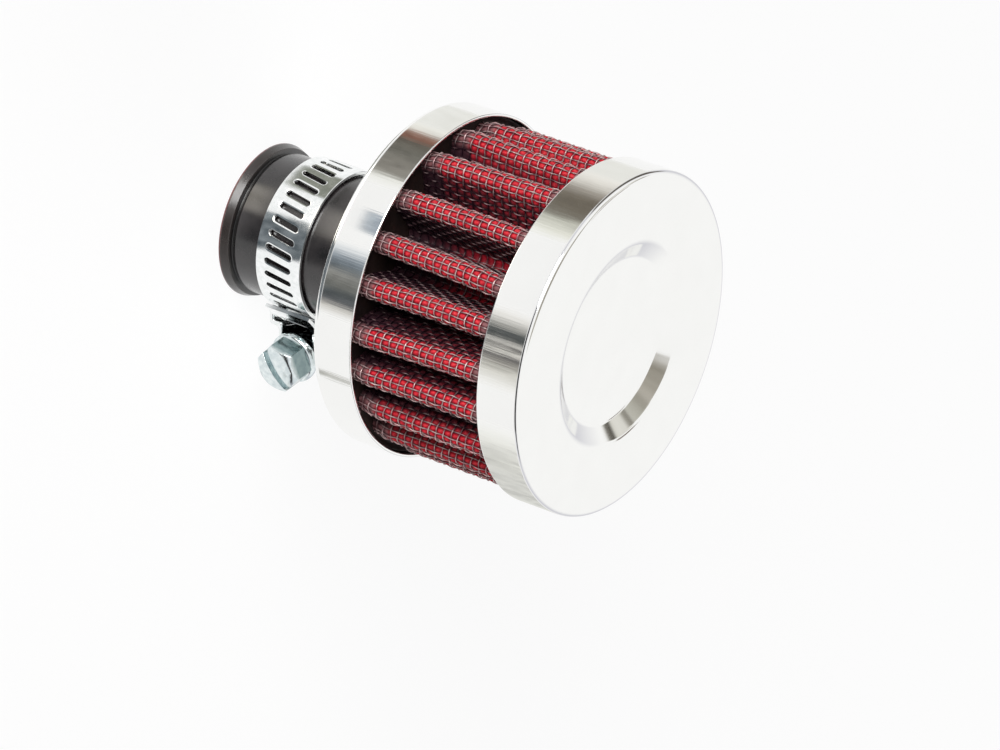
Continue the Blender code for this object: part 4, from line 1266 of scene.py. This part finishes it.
banded_card("card_blue_near", NEAR, [
    (-91.5, "#FFFFFF"), (-88.8, "#E6EAEE"), (-86.5, "#A4AEB8"), (-84, "#78828A"), (-81, "#A2A29E"),
    (-77.5, "#82837F"), (-74.5, "#5E6467"), (-72, "#6C6E71"), (-70, "#DAD7D1"), (-67, "#FFFFFF"),
])
banded_card("card_blue_far", FAR, [
    (-89, "#FFFFFF"), (-86, "#F6F4F0"), (-83, "#B8B7B2"), (-81.3, "#606465"), (-79.3, "#545858"),
    (-78.2, "#F4F1EB"), (-77.5, "#E4E1DB"), (-76.7, "#303033"), (-75.6, "#FAF7F0"), (-74.6, "#F0EDE6"),
    (-73.5, "#555356"), (-71.5, "#B4B1AA"), (-68.5, "#F4F2EA"), (-62, "#FFFFFF"),
])
banded_card("card_under", FAR, [
    (-50, "#FFFFFF"), (-42, "#FFFFFA"), (-34, "#F6F6F0"), (-27, "#FAFAF5"), (-18, "#F0F0EB"),
    (0, "#EAEAE5"),
])

# The corner cards are two long dark strips, which the round corner of the front cup draws together to
# a line along its edge. The clamp's cards are for its band. Each row gives the name and radius, the
# reaches, both ends of both sides, the tones, and last the size of the cloud and the soft edge.
BAND_RADIUS = 11.0
DARK, BROWN = ("#262626", "#444240"), ("#4A443C", "#6C665E")
for name, radius, reaches, sides, tones, *softness in (
    ("card_patch", CAP_RADIUS, (50, 64), ((-104, -103), (-96, -95)), ("#5C6876", "#CCD6E0"), 2.5, 0.15),
    ("card_line", CAP_RADIUS, (42, 62), ((-47, -46.5), (-43.5, -43.5)),
     ("#A8A8A2", "#BCBCB6"), 6.0, 0.45),
    ("card_corner_low", CAP_RADIUS, (142, 1550), ((-86, -106), (-50, -46)), DARK),
    ("card_corner_back", CAP_RADIUS, (142, 1550), ((-156, -158), (-126, -124)), BROWN),
    ("card_clamp_high", BAND_RADIUS, (11, 27), ((-144, -144), (-118, -116)), ("#7E8076", "#94968C")),
    ("card_clamp_low", BAND_RADIUS, (2, 50), ((-98, -98), (-66, -66)), ("#40484E", "#8E9498"), 4.0),
):
    card(name, floor_points(radius, reaches, *sides), tones, *softness)

# %% [markdown]
# Rubber mirrors only a few hundredths of what it sees, so the light streak along the neck takes a card
# that is several times as bright as white. Two narrow ones lie where the neck mirrors them and the
# shiny clamp band between them does not.

# %% Bright cards for the neck
for name, reaches, strength in (
    ("card_shine_low", (0.5, 9.5), 4.0),
    ("card_shine_high", (26, 47), 6.0),
):
    points = floor_points(NECK_RADIUS, reaches, (-116, -118), (-89, -89), 0.2)
    card(name, points, ("#B8B2A6", "#FFFAF0"), 3.0, 0.2, strength=strength)


# %% Cards in the room
def room_points(distance, azimuths, elevations):
    """Corners on a sphere round the filter, between two azimuths and two elevations in degrees."""
    az = np.radians(np.linspace(*azimuths, CARD_COLUMNS))[None, :]
    el = np.radians(np.linspace(*elevations, CARD_ROWS))[:, None]
    return lifted(np.cos(el) * np.exp(1j * az), np.sin(el)) * distance + (0, 0, MIDDLE_HEIGHT)


# The corner cards stay low, so that the flat face mirrors them only when it is seen nearly edge on.
for name, distance, azimuths, elevations, tones, *softness in (
    ("card_dish", 600, (156, 310), (57, 89), ("#8A857A", "#B4AFA5"), 90.0, 0.08),
    ("card_dish_end", 620, (149, 174), (45, 70), ("#B8B6AC", "#CCCAC2"), 90.0, 0.12),
    ("card_dish_pale", 630, (131, 152), (28, 56), ("#DAD8D0", "#E8E6E0"), 60.0, 0.15),
    ("card_dish_blob", 590, (147, 154), (46, 56), ("#6A665E", "#98948A"), 20.0, 0.40),
    ("card_dish_spot", 590, (132, 140), (31, 42), ("#3A362F", "#6E6A61"), 20.0, 0.35),
    ("card_corner", 1600, (-124, 10), (-3, 12), DARK, 300.0),
    ("card_corner_top", 1600, (130, 205), (-3, 12), BROWN, 300.0),
    ("card_dish_edge", 600, (110, 124), (43, 54), ("#6A5C52", "#8E827A"), 60.0, 0.15),
):
    card(name, room_points(distance, azimuths, elevations), tones, *softness)

bpy.context.scene.view_settings.view_transform = "Standard"
